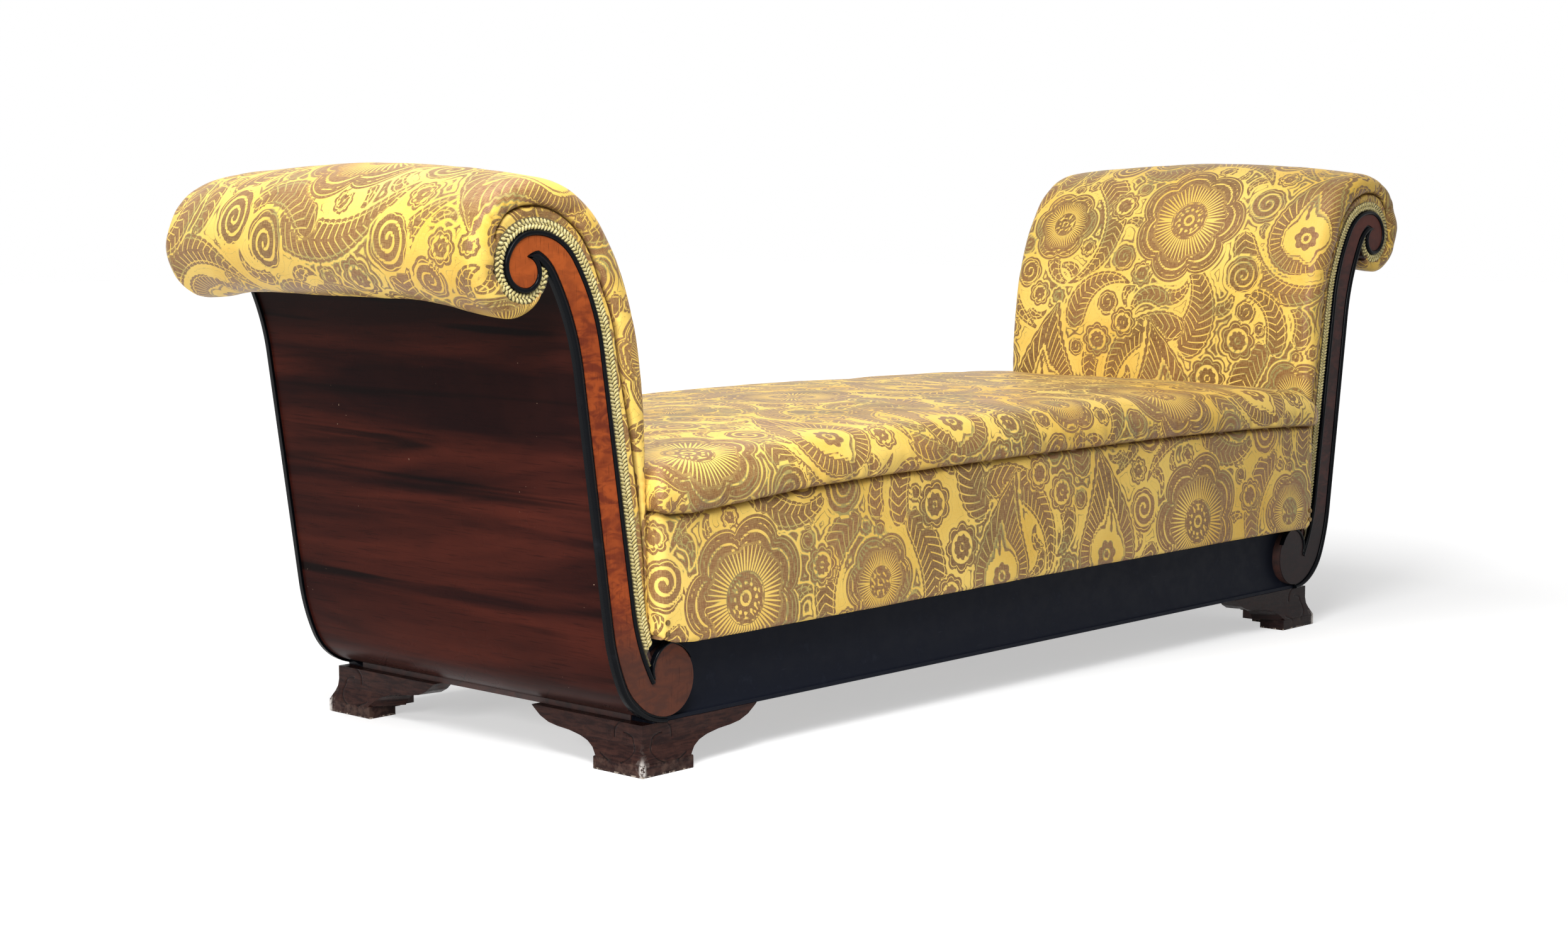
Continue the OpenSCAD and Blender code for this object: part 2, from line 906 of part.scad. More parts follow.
module seat_springs() {
    bay_free = bay_x - seat_cross_w;
    pitch_x = bay_free / springs_per_bay;
    pitch_y = 2 * seat_well_y / spring_rows;
    color(steel) for (bay = [0:cross_count], i = [0:springs_per_bay - 1], j = [0:spring_rows - 1])
        translate([
            (bay + 1 / 2) * bay_x - seat_well_x + (i - (springs_per_bay - 1) / 2) * pitch_x,
            (j - (spring_rows - 1) / 2) * pitch_y,
            spring_z
        ]) spring();
}

module seat_edge_roll() {
    low = seat_base_z + seat_rail_h;
    color(hair) translate([0, 0, low]) linear_extrude(seat_hessian_z - low) difference() {
        square([2 * seat_frame_x, 2 * seat_frame_y], center = true);
        square([2 * (seat_frame_x - seat_edge_w), 2 * (seat_frame_y - seat_edge_w)], center = true);
    }
}

module seat_hessian() {
    color(jute) translate([-seat_frame_x, -seat_frame_y, seat_hessian_z])
        cube([2 * seat_frame_x, 2 * seat_frame_y, hessian_t]);
}

// Seat cover: rings of a rounded rectangle, as [inset along x, inset along y, height]
seat_roll_shares = [
    [0, 0, 0], [0, -0.8, 0.16], [0, -1, 0.4], [0.1, -0.7, 0.66], [0.9, 0.2, 0.86], [2.8, 2.2, 0.97], [6, 6, 1]
];
seat_crown_shares = [[0.2, 0.35], [0.45, 0.7], [0.8, 0.97]];
seat_corner_r = 24;
seat_pad_h_share = 0.78;
corner_points = 5;

function rounded_ring(hx, hy, r, z) = [
    for (k = [0:3], i = [0:corner_points])
        let (a = 90 * (k + i / corner_points), sx = k == 0 || k == 3 ? 1 : -1, sy = k < 2 ? 1 : -1)
        [sx * (hx - r) + r * cos(a), sy * (hy - r) + r * sin(a), z]
];

function seat_rings() = concat(
    [for (s = seat_roll_shares)
        rounded_ring(
            seat_half_x - s[0] * seat_bulge,
            seat_half_y - s[1] * seat_bulge,
            seat_corner_r,
            seam_z + s[2] * seat_roll_h
        )],
    [for (s = seat_crown_shares)
        rounded_ring(
            seat_half_x - s[0] * seat_half_y,
            seat_half_y * (1 - s[0]),
            seat_corner_r * (1 - s[0]),
            seam_z + seat_roll_h + s[1] * seat_crown
        )]
);

// A skin over closed rings, with a point in the middle of each end
module domed(rings, low_z, high_z) {
    n = len(rings[0]);
    m = len(rings);
    points = concat([for (r = rings) each r], [[0, 0, low_z], [0, 0, high_z]]);
    sides = [for (j = [0:m - 2], i = [0:n - 1])
        let (a = j * n + i, b = j * n + (i + 1) % n)
        each [[a, b + n, b], [a, a + n, b + n]]];
    low = [for (i = [0:n - 1]) [i, (i + 1) % n, m * n]];
    high = [for (i = [0:n - 1]) [(m - 1) * n + (i + 1) % n, (m - 1) * n + i, m * n + 1]];
    polyhedron(points, concat(sides, low, high));
}

module seat_pad(grow) {
    hx = seat_frame_x - seat_edge_w + grow;
    hy = seat_frame_y - seat_edge_w + grow;
    translate([-hx, -hy, seam_z]) cube([2 * hx, 2 * hy, seat_pad_h_share * seat_roll_h + grow]);
}

module seat_stuffing() {
    color(hair) seat_pad(0);
}

module seat_cover() {
    color(gold) difference() {
        domed(seat_rings(), seam_z, seam_z + seat_roll_h + seat_crown);
        seat_pad(soft_gap);
    }
}

module long_border() {
    translate([-seat_half_x, seat_frame_y, seat_base_z])
        cube([2 * seat_half_x, seat_border_t, border_h - soft_gap]);
}

module seat_front_border() {
    color(gold) place(1, -1) long_border();
}

module seat_back_border() {
    color(gold) long_border();
}

module seat_end_borders() {
    color(gold) at_ends() translate([seat_frame_x, -seat_frame_y, seat_base_z])
        cube([seat_border_t, 2 * seat_frame_y, border_h - soft_gap]);
}

// Each tack lies under its corner, as [place along the border, height], in shares of its diameter
tack_place_shares = [[1.6, 1], [1.6, 3]];
tack_h_share = 0.2;

module corner_tacks() {
    color(steel) at_corners() for (s = tack_place_shares)
        translate([seat_half_x - s[0] * tack_d, seat_half_y, seat_base_z + s[1] * tack_d])
            rotate([-90, 0, 0]) cylinder(h = tack_h_share * tack_d, d = tack_d);
}

front_rail();
back_rail();
left_end_rail();
right_end_rail();
cross_stretchers();
corner_blocks();
front_left_foot();
front_right_foot();
back_left_foot();
back_right_foot();
foot_blocks();
foot_screws();
left_front_scroll_board();
left_back_scroll_board();
right_front_scroll_board();
right_back_scroll_board();
left_front_veneer();
left_back_veneer();
right_front_veneer();
right_back_veneer();
left_front_outer_bead();
left_back_outer_bead();
right_front_outer_bead();
right_back_outer_bead();
left_front_inner_bead();
left_back_inner_bead();
right_front_inner_bead();
right_back_inner_bead();
left_outer_panel();
right_outer_panel();
arm_roll_rails();
arm_mid_rails();
left_arm_webbing();
right_arm_webbing();
arm_hessians();
left_arm_stuffing();
right_arm_stuffing();
left_arm_cover();
right_arm_cover();
left_front_border();
left_back_border();
right_front_border();
right_back_border();
left_front_gimp();
left_back_gimp();
right_front_gimp();
right_back_gimp();
seat_long_rails();
seat_end_rails();
seat_cross_rails();
seat_webbing();
seat_springs();
seat_edge_roll();
seat_hessian();
seat_stuffing();
seat_cover();
seat_front_border();
seat_back_border();
seat_end_borders();
corner_tacks();
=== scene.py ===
"""Dresses the recamier's frame: upholstery, trimming, veneers, beads and carved feet, with light and camera."""

import math

import bpy
import numpy as np
from mathutils import Matrix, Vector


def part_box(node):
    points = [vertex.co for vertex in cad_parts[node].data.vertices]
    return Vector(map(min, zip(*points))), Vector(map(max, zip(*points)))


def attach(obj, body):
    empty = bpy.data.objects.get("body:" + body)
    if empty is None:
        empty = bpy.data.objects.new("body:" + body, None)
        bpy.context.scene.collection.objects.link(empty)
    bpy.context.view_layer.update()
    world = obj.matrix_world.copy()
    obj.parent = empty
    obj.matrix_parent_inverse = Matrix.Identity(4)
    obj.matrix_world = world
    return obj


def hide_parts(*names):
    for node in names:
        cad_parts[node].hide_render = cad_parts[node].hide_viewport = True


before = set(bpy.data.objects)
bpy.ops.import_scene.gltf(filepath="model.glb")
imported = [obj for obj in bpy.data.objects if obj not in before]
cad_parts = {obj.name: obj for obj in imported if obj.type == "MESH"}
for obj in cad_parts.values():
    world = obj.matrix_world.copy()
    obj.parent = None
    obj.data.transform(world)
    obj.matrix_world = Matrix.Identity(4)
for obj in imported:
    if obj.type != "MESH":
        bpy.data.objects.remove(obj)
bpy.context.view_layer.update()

MM = 0.001

# Sizes read from the frame, in metres. Y is given as a distance from the middle.
FOOT_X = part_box("front_right_foot")[1][0]
FOOT_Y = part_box("back_right_foot")[1][1]
FOOT_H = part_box("front_right_foot")[1][2]
SEAT_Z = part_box("front_rail")[1][2]
FACE_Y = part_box("right_back_outer_bead")[1][1]
BEAD_BACK_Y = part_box("right_back_outer_bead")[0][1]
VENEER_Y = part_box("right_back_veneer")[1][1]
BAND_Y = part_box("right_back_veneer")[0][1]
BOARD_BACK_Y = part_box("right_back_scroll_board")[0][1]
BOARD_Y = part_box("right_back_border")[0][1]
BORDER_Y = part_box("right_back_gimp")[0][1]
SEAT_HALF_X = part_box("seat_front_border")[1][0]
SEAT_HALF_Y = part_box("seat_back_border")[1][1]
SEAM_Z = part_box("seat_cover")[0][2]
SEAT_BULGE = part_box("seat_cover")[1][1] - SEAT_HALF_Y
RAIL_BACK_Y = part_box("back_rail")[0][1]

# Driving sizes that the frame doesn't give by itself
SCROLL_H = 682 * MM
DISC_INSET = 55 * MM
OUTER_BEAD_W = 13 * MM
INNER_BEAD_W = 7 * MM
DISC_BEAD_W = 5 * MM
PANEL_T = 9 * MM
PAD_CROWN = 22 * MM
SEAT_CORNER = 15 * MM

SCROLL = np.array([FOOT_X - DISC_INSET, FOOT_H])
DISC = SCROLL + [0, 0.0865 * SCROLL_H]
DISC_R = 0.0748 * SCROLL_H
PAD_X = SCROLL[0] + 0.0469 * SCROLL_H


# Curves


class Chain:
    """Arcs and straight runs in the XZ plane. A leg is (radius or length, turn in degrees), with turn 0 if straight.

    A position counts the legs: 2.5 is half way along the third one.
    """

    SAMPLES = 160  # for each leg, where lengths are measured

    def __init__(self, start, heading, legs):
        rows = [(start[0], start[1], math.radians(heading))]
        self.size = np.array([leg[0] for leg in legs], float)
        self.turn = np.radians([leg[1] for leg in legs])
        for i in range(len(legs)):
            rows.append(self._follow(np.array(rows[-1]), self.size[i], self.turn[i], 1.0))
        self.starts = np.array(rows[:-1], float)
        self.end = len(legs)
        self.fine = np.linspace(0, self.end, self.SAMPLES * self.end + 1)
        x, z, _ = self.frame(self.fine)
        self.run = np.concatenate([[0], np.cumsum(np.hypot(np.diff(x), np.diff(z)))])

    @staticmethod
    def _follow(start, size, turn, share):
        x, z, h = start[..., 0], start[..., 1], start[..., 2]
        t = turn * share
        g = np.sign(turn)
        straight = turn == 0
        nx = np.where(straight, x + share * size * np.cos(h), x + g * size * (np.sin(h + t) - np.sin(h)))
        nz = np.where(straight, z + share * size * np.sin(h), z - g * size * (np.cos(h + t) - np.cos(h)))
        return nx, nz, h + t

    def frame(self, pos):
        """x, z and heading at these positions."""
        pos = np.asarray(pos, float)
        i = np.clip(np.floor(pos).astype(int), 0, self.end - 1)
        return self._follow(self.starts[i], self.size[i], self.turn[i], pos - i)

    def beside(self, pos, offset):
        """Points (x, z) at these positions, moved to the left by offset."""
        x, z, h = self.frame(pos)
        return np.stack([x - offset * np.sin(h), z + offset * np.cos(h)], -1)

    def normal(self, pos):
        h = self.frame(pos)[2]
        return np.stack([-np.sin(h), np.cos(h)], -1)

    def length(self, pos):
        return np.interp(pos, self.fine, self.run)

    def spaced(self, a, b, step):
        """Positions from a to b, about step apart along the curve."""
        la, lb = self.length([a, b])
        n = max(2, int(round((lb - la) / step)) + 1)
        return np.interp(np.linspace(la, lb, n), self.run, self.fine)


def scaled(legs):
    """Legs without a unit, drawn at the scroll's size."""
    return [(r * SCROLL_H, turn) for r, turn in legs]


# The outer and inner edges of a scroll board, and the face of an end pad, at the right end
OUTER = Chain(
    SCROLL + np.array([0.003, 0]) * SCROLL_H,
    0,
    scaled([(0.139, 66), (0.455, 16), (0.516, 0), (0.535, -22.5), (0.081, -51)]),
)
INNER = Chain(
    SCROLL + np.array([0.035, 0.088]) * SCROLL_H,
    60,
    scaled(
        [(0.44, 21.5), (0.528, 0), (0.44, -25.5), (0.1246, -62), (0.0748, -63), (0.0528, -111), (0.0396, -152)]
    ),
)
PAD = Chain(
    (PAD_X, SEAT_Z),
    90,
    scaled([(0.446, 0), (0.792, -20), (0.446, -20), (0.205, -80), (0.1305, -122), (0.0733, -83)]),
)

# Width of the outer bead along its legs, as shares of its full width
OUTER_BEAD_SHARES = [(0, 0.6), (0.6, 1), (4.7, 1), (5, 0)]
# Positions along the pad and the positions of the scroll's inner edge that they face
FACING = [(0, 0.62), (0.16, 1), (1, 1.72), (2, 2.45), (3, 3.1), (4, 4.38), (5, 5.75), (6, 6.36)]
# Crown of a pad along its legs, as shares of the full crown
CROWN_SHARES = [
    (0, 0), (0.6, 0), (1, 0.03), (1.5, 0.25), (2, 0.36), (3, 0.5), (3.6, 0.95), (4.1, 1), (4.5, 0.7), (5, -0.75),
    (5.4, -1.3), (6, -0.5),
]
# Trimming: positions along the scroll's inner edge, its distance from that edge and its width, in millimetres
GIMP_OFFSETS = [(0.2, 3), (1.6, 3), (1.9, 2), (2.5, 1), (4, 0)]
GIMP_WIDTHS = [(0.2, 15), (0.4, 18), (1.9, 18), (2.5, 15.5), (4, 16.5), (4.8, 17), (5.2, 14.5), (6.6, 14)]
# Seam of the edge roll: positions along the pad and its distance from the scroll's inner edge, in millimetres
SEAM_PLACES = [
    (0, 19), (0.16, 24), (0.35, 31), (0.6, 35.5), (0.9, 35), (1.2, 31.5), (1.6, 30), (2, 25.5), (2.4, 24.5),
    (2.7, 28), (3.2, 29), (3.6, 32), (4, 33), (4.2, 29), (4.4, 15),
]
SEAM_END = 4.38
# How strongly the edge roll is pleated along the way
PLEATS = [(1.0, 0), (1.5, 0.5), (2.4, 0.8), (3.2, 1.0), (4.2, 1.0), (4.4, 0)]
# Seat along its length: how far the seam and the bottom edge of the front lie off their straight lines, in millimetres
SEAM_BOW = [
    (-830, 3), (-812, -1), (-776, -3), (-727, -1), (-631, 5), (-533, 11), (-374, 14.5), (-48, 17), (192, 17),
    (386, 16.5), (522, 14), (665, 11), (776, 6), (830, 3),
]
HANG = [
    (-830, 6), (-822, 1), (-800, -6), (-762, -9.5), (-400, -8.5), (0, -6), (600, -6), (745, -7), (812, -8), (824, -5),
    (830, 2),
]


def lookup(x, table):
    """Values at x between the rows (x, value) of a table."""
    return np.interp(x, [t[0] for t in table], [t[1] for t in table])


def smooth_step(x, a, b):
    """0 before a, 1 after b, smooth between."""
    t = np.clip((np.asarray(x, float) - a) / (b - a), 0, 1)
    return t * t * (3 - 2 * t)


def bell(x, width):
    """1 at x = 0, and nearly 0 from twice the width on."""
    return np.exp(-((x / width) ** 2))


def wobble(x, y, size, seed):
    """Smooth noise between -1 and 1 over the plane, with bumps about size across."""
    cells = 64
    table = np.random.default_rng(seed).uniform(-1, 1, (cells, cells))
    u, v = np.asarray(x) / size, np.asarray(y) / size
    i, j = np.floor(u).astype(int), np.floor(v).astype(int)
    fu, fv = u - i, v - j
    fu, fv = fu * fu * (3 - 2 * fu), fv * fv * (3 - 2 * fv)
    a = table[i % cells, j % cells] * (1 - fu) + table[(i + 1) % cells, j % cells] * fu
    b = table[i % cells, (j + 1) % cells] * (1 - fu) + table[(i + 1) % cells, (j + 1) % cells] * fu
    return a * (1 - fv) + b * fv


def curve_through(controls, count):
    """A smooth curve through control points, shape (n, k, d), sampled at count places: shape (n, count, d)."""
    k = controls.shape[1]
    t = np.linspace(0, k - 1, count)
    i = np.clip(np.floor(t).astype(int), 0, k - 2)
    f = (t - i)[None, :, None]
    p = [controls[:, np.clip(i + o, 0, k - 1)] for o in (-1, 0, 1, 2)]
    m1, m2 = (p[2] - p[0]) / 2, (p[3] - p[1]) / 2
    f2, f3 = f * f, f * f * f
    return (2 * f3 - 3 * f2 + 1) * p[1] + (f3 - 2 * f2 + f) * m1 + (3 * f2 - 2 * f3) * p[2] + (f3 - f2) * m2


def at_y(points, y):
    """Points (x, z) as (x, y, z)."""
    return np.stack(np.broadcast_arrays(points[..., 0], y, points[..., 1]), -1)


# Woven pattern, in millimetres on the cloth

REPEAT_U, REPEAT_V = 560.0, 640.0
HALO = 4.0  # how far a motif clears what lies under it
VEIN_PITCH = 14.0
FLOW_PITCH = 8.4
NO_VEINS = -99
EXTRA_MOTIFS = 40  # at most, to fill what is left empty
# What a motif gives at each place: how far inside its edge that lies, how far inside a woven figure, a count of veins,
# how far inside the veined part, and the gaps between the veins
FIELDS = ("edge", "figure", "strokes", "reach", "gap")
EMPTY = (-60, -60, 0, NO_VEINS, 0)  # where no motif lies


def ring_dots(r, turn, count, radius, size):
    """Signed distance to a ring of round dots."""
    step = 2 * math.pi / count
    a = np.abs((turn / step + 0.5) % 1 - 0.5) * step
    return size - np.hypot(r * np.cos(a) - radius, r * np.sin(a))


def lobed(turn, count, size, depth, power=0.7):
    """Radius of an edge of round lobes."""
    return size * (1 - depth + depth * np.abs(np.cos(count * turn / 2)) ** power)


def layered(layers):
    """The field of the first layer whose reach is positive, at each place."""
    out = layers[-1][1]
    for reach, field in layers[-2::-1]:
        out = np.where(reach > 0, field, out)
    return out


def rosette(x, y, size, lobes):
    """A large round flower with a lobed and veined border."""
    r, turn = np.hypot(x, y), np.arctan2(y, x)
    k = size / 120
    sway = 1 + 0.03 * np.sin(3 * turn + 1)
    edge = lobed(turn, lobes, size * sway, 0.17, 0.6) - r
    inner = lobed(turn, lobes, 0.66 * size * sway, 0.12, 0.6)
    figure = layered([
        (9 * k - r, 7 * k - r),
        (16 * k - r, r - 12 * k),
        (28 * k - r, -ring_dots(r, turn, 12, 22 * k, 3.6 * k)),
        (37 * k - r, np.minimum(r - 30 * k, 35.5 * k - r)),
        (inner - r, r - 38 * k),
        (edge, edge),
    ])
    lines = np.minimum(np.abs(edge - 13 * k) - 1.1, np.abs(edge - 24 * k) - 2.2 * k)
    figure = np.where(r > inner, np.minimum(figure, lines), figure)
    strokes = np.where(r < inner, 28, 9) * np.abs(turn) / math.pi
    reach = np.minimum(r - 39 * k, inner + 4 * k - r)
    gap = 5.2 - 4.0 * np.clip((r - 38 * k) / (0.34 * size), 0, 1)
    return edge, figure, strokes, reach, gap


def daisy(x, y, size, petals):
    """A small flower in a lobed ring."""
    r, turn = np.hypot(x, y), np.arctan2(y, x)
    edge = lobed(turn, petals, size, 0.22, 0.7) - r
    flower = lobed(turn + 0.3, petals + 1, 0.5 * size, 0.3) - r
    figure = layered([
        (0.14 * size - r, 0.11 * size - r),
        (0.52 * size - r, np.minimum(flower, r - 0.18 * size)),
        (edge, np.minimum(edge, r - 0.62 * size)),
    ])
    return edge, figure, 0 * r, 0 * r + NO_VEINS, 0 * r + 1


def plume(x, y, start, stop, radius, width, flip=1):
    """A feathered leaf with round lobes along an arc about the origin, between two angles in degrees."""
    r, turn = np.hypot(x, y), np.degrees(np.arctan2(y, x))
    mid, half = (start + stop) / 2, (stop - start) / 2
    t = ((turn - mid + 180) % 360 - 180) / half * flip
    arc = math.radians(half) * radius
    run = t * arc
    s = np.clip((t + 1) / 2, 0, 1)
    d = np.abs(r - radius)
    w = width * np.sin(np.pi * s**0.45) ** 0.7
    strokes = (run - 0.75 * d) / VEIN_PITCH
    lobes = np.abs(np.sin(np.pi * (strokes + 0.5))) ** 0.6
    beyond = np.maximum((np.abs(t) - 1) * arc, 0)
    edge = np.where(beyond > 0, -np.hypot(beyond, np.maximum(d - 0.5, 0)), w * (1 + 0.16 * lobes) - d)
    return edge, edge, strokes, np.minimum(d - 1.8, w * 1.02 - d), 0 * r + 1.25


def spiral(x, y, size, pitch, hand=1):
    """A wound band on a lobed ground."""
    r, turn = np.hypot(x, y), np.arctan2(y, x) * hand
    edge = lobed(turn, 7, size, 0.09) * (1 + 0.08 * np.sin(turn)) - r
    band = np.sin(2 * math.pi * (r / pitch - turn / (2 * math.pi))) * pitch / 5 + 1.2
    return edge, np.minimum(edge, band), 0 * r, 0 * r + NO_VEINS, 0 * r + 1


def drop(x, y, size, lean, bend=0.4):
    """A curved drop with a veined border round a flower and a spray."""
    c, s = math.cos(lean), math.sin(lean)
    x, y = c * x + s * y, c * y - s * x
    h = y / size
    x = x - bend * size * np.clip(h, 0, 2.2) ** 2
    t = np.clip((h + 0.75) / 2.35, 0, 1)
    w = 0.78 * size * np.sin(np.pi * t**0.60) ** 0.85
    out = np.maximum(np.abs(h - 0.425) - 1.175, 0) * size
    turn = np.arctan2(y, x)
    strokes = np.abs(turn - math.pi / 2 + 2 * math.pi * (turn < -math.pi / 2)) * 0.95 * size / VEIN_PITCH + 0.5
    lobes = np.abs(np.sin(np.pi * strokes)) ** 0.6
    plain = (w - np.abs(x)) * np.clip(0.75 + 0.25 * np.cos(2 * turn), 0.6, 1)
    edge = np.where(out > 0, -np.hypot(out, np.abs(x)), plain + 3.5 * lobes)
    up = y + 0.05 * size
    r = np.hypot(x, up)
    flower = lobed(np.arctan2(up, x), 7, 0.25 * size, 0.3) - r
    stem = 1.6 + 2.2 * np.abs(np.sin(y / 5)) - np.abs(x)
    stem = np.minimum(stem, np.minimum(y - 0.33 * size, size - y))
    band = 0.25 * size
    figure = layered([
        (0.08 * size - r, 0.06 * size - r),
        (0.30 * size - r, np.minimum(flower, r - 0.11 * size)),
        (plain - band - 9, stem),
        (plain - band - 4, np.minimum(plain - band - 5, band + 8 - plain)),
        (plain - band, 0 * r - 1),
        (edge, edge),
    ])
    return edge, figure, strokes, np.minimum(plain - 4, band - 1 - plain), 0 * r + 1.25


# Each motif with its place in the repeat. Later ones lie over earlier ones.
MOTIFS = [
    (plume, 150, 130, dict(start=28, stop=148, radius=166, width=27, flip=-1)),
    (plume, 405, 120, dict(start=185, stop=330, radius=128, width=25, flip=1)),
    (plume, 125, 440, dict(start=70, stop=205, radius=126, width=26, flip=1)),
    (plume, 420, 435, dict(start=-75, stop=70, radius=118, width=25, flip=-1)),
    (plume, 470, 395, dict(start=130, stop=245, radius=185, width=27, flip=1)),
    (plume, 40, 330, dict(start=-150, stop=-25, radius=92, width=22, flip=-1)),
    (plume, 300, 560, dict(start=-30, stop=110, radius=74, width=20, flip=1)),
    (plume, 560, 250, dict(start=60, stop=190, radius=84, width=22, flip=-1)),
    (spiral, 285, 292, dict(size=40, pitch=14, hand=1)),
    (spiral, 22, 300, dict(size=40, pitch=14, hand=-1)),
    (spiral, 290, 25, dict(size=38, pitch=13, hand=1)),
    (spiral, 500, 590, dict(size=42, pitch=14, hand=-1)),
    (daisy, 250, 400, dict(size=34, petals=8)),
    (daisy, 530, 215, dict(size=34, petals=8)),
    (daisy, 290, 545, dict(size=38, petals=7)),
    (daisy, 545, 480, dict(size=32, petals=8)),
    (daisy, 30, 570, dict(size=30, petals=7)),
    (daisy, 385, 300, dict(size=26, petals=7)),
    (drop, 405, 105, dict(size=98, lean=0.35, bend=0.35)),
    (drop, 125, 420, dict(size=88, lean=-0.3, bend=-0.35)),
    (rosette, 415, 440, dict(size=76, lobes=6)),
    (rosette, 145, 130, dict(size=120, lobes=7)),
]


def wrapped(u, v, cu, cv):
    """Place within the nearest repeat of a motif. Every other column of repeats drops by half."""
    col = np.floor((u - cu) / REPEAT_U + 0.5)
    y = v - cv - col * REPEAT_V / 2
    return u - cu - col * REPEAT_U, y - np.floor(y / REPEAT_V + 0.5) * REPEAT_V


def filled(motifs, extra, scan=8.0, smallest=16, golden=137.5):
    """Adds leaves, daisies and spirals, one after another, in the emptiest place of the repeat.

    scan is the pitch of the places tried, smallest the least radius of such a place, golden the turn between leaves.
    """
    u, v = np.meshgrid(np.arange(0, REPEAT_U, scan), np.arange(0, REPEAT_V, scan))
    room = -np.max([kind(*wrapped(u, v, cu, cv), **how)[0] for kind, cu, cv, how in motifs], axis=0)
    motifs = list(motifs)
    for k in range(extra):
        at = np.unravel_index(np.argmax(room), room.shape)
        cu, cv, r = float(u[at]), float(v[at]), float(room[at])
        if r < smallest:
            break
        lean, flip = k * golden, (-1) ** k
        kind, how = [
            (plume, dict(start=lean - 62, stop=lean + 62, radius=1.5 * r, width=0.52 * r, flip=flip)),
            (daisy, dict(size=0.95 * r, petals=7 + k % 2)),
            (plume, dict(start=lean - 70, stop=lean + 70, radius=1.25 * r, width=0.46 * r, flip=flip)),
            (spiral, dict(size=0.95 * r, pitch=max(10.0, 0.36 * r), hand=flip)),
        ][k % 4]
        if kind is plume:
            cu = cu - how["radius"] * math.cos(math.radians(lean))
            cv = cv - how["radius"] * math.sin(math.radians(lean))
        motifs.insert(0, (kind, cu, cv, how))
        room = np.minimum(room, -kind(*wrapped(u, v, cu, cv), **how)[0])
    return motifs


MOTIFS = filled(MOTIFS, EXTRA_MOTIFS)


def draft(uv):
    """The pattern's fields at cloth places in metres."""
    u, v = np.asarray(uv, float).reshape(-1, 2).T / MM
    fields = [0 * u + value for value in EMPTY]
    for kind, cu, cv, how in MOTIFS:
        new = kind(*wrapped(u, v, cu, cv), **how)
        over = new[0] > -HALO
        nearest = np.maximum(fields[0], new[0])
        fields = [np.where(over, b, a) for a, b in zip(fields, new)]
        fields[0] = np.where(over, new[0], nearest)
    return fields


# Meshes


def make(name, part, material, body, old, at=(1, 1), uv=None, sharp=40, woven=False, fields=()):
    """A piece that rides on a body and stands for the CAD node old.

    part is (verts, faces) as made for the back right corner, and at is the corner (end, side) where it goes. uv holds
    a pair for each vertex, and fields (name, value for each vertex).
    """
    verts, faces = placed(*part, *at)
    mesh = bpy.data.meshes.new(name)
    mesh.from_pydata(verts.tolist(), [], [list(map(int, f)) for f in faces])
    if uv is not None:
        layer = mesh.uv_layers.new(name="Cloth")
        corners = np.empty(len(mesh.loops), dtype=np.int32)
        mesh.loops.foreach_get("vertex_index", corners)
        layer.data.foreach_set("uv", np.asarray(uv, np.float32).reshape(-1, 2)[corners].ravel())
    for key, field in [*fields, *(zip(FIELDS, draft(uv)) if woven else ())]:
        mesh.attributes.new(key, "FLOAT", "POINT").data.foreach_set("value", np.ravel(field).astype(np.float32))
    mesh.validate()
    mesh.shade_smooth()
    if sharp is not None:
        mesh.set_sharp_from_angle(angle=math.radians(sharp))
    obj = bpy.data.objects.new(name, mesh)
    bpy.context.scene.collection.objects.link(obj)
    mesh.materials.append(material)
    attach(obj, body)
    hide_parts(old)
    return obj


def cushion(name, part, material, body, old, at=(1, 1), uv=None, crease_shade=None):
    """A padded piece. With uv, it has the woven pattern. Its crease shade, at each vertex, is how much painted shade
    darkens its creases.
    """
    fields = [] if crease_shade is None else [("crease_shade", crease_shade)]
    make(name, part, material, body, old, at, uv, None, uv is not None, fields)


def grid_faces(rows, cols, wrap=False, start=0):
    """Quads over a grid of rows by cols vertices, and round again from the last column if wrap."""
    j = np.arange(cols if wrap else cols - 1)
    i = np.arange(rows - 1)[:, None]
    a = start + i * cols + j
    b = start + i * cols + (j + 1) % cols
    return np.stack([a, b, b + cols, a + cols], -1).reshape(-1, 4)


def loft(rings):
    """Vertices and faces of a skin over rings, shape (rows, cols, 3), closed at its first and last ring."""
    rows, cols = rings.shape[:2]
    faces = grid_faces(rows, cols, wrap=True).tolist()
    faces.append(list(range(cols)))
    faces.append(list(range(rows * cols - 1, (rows - 1) * cols - 1, -1)))
    return rings.reshape(-1, 3), faces


def placed(verts, faces, end, side):
    """Moves a piece made for the back right corner to the corner (end, side), and turns its faces if mirrored."""
    verts = np.asarray(verts, float).reshape(-1, 3) * [end, side, 1]
    if end * side < 0:
        faces = [list(f)[::-1] for f in faces]
    return verts, faces


def outward(verts, faces):
    """Turns all faces if the closed mesh has them inside out."""
    v = np.asarray(verts, float).reshape(-1, 3)
    volume = 0.0
    for size in sorted(set(map(len, faces))):
        f = np.array([face for face in faces if len(face) == size])
        for k in range(1, size - 1):
            volume += np.sum(v[f[:, 0]] * np.cross(v[f[:, k]], v[f[:, k + 1]]))
    return faces if volume > 0 else [list(f)[::-1] for f in faces]


def solid(rings):
    """Vertices and faces of a closed skin over rings, with its faces turned outward."""
    verts, faces = loft(rings)
    return verts, outward(verts, faces)


def joined(parts):
    """Several (verts, faces) as one."""
    verts, faces, start = [], [], 0
    for v, f in parts:
        v = np.asarray(v, float).reshape(-1, 3)
        verts.append(v)
        faces += [[i + start for i in face] for face in f]
        start += len(v)
    return np.concatenate(verts), faces


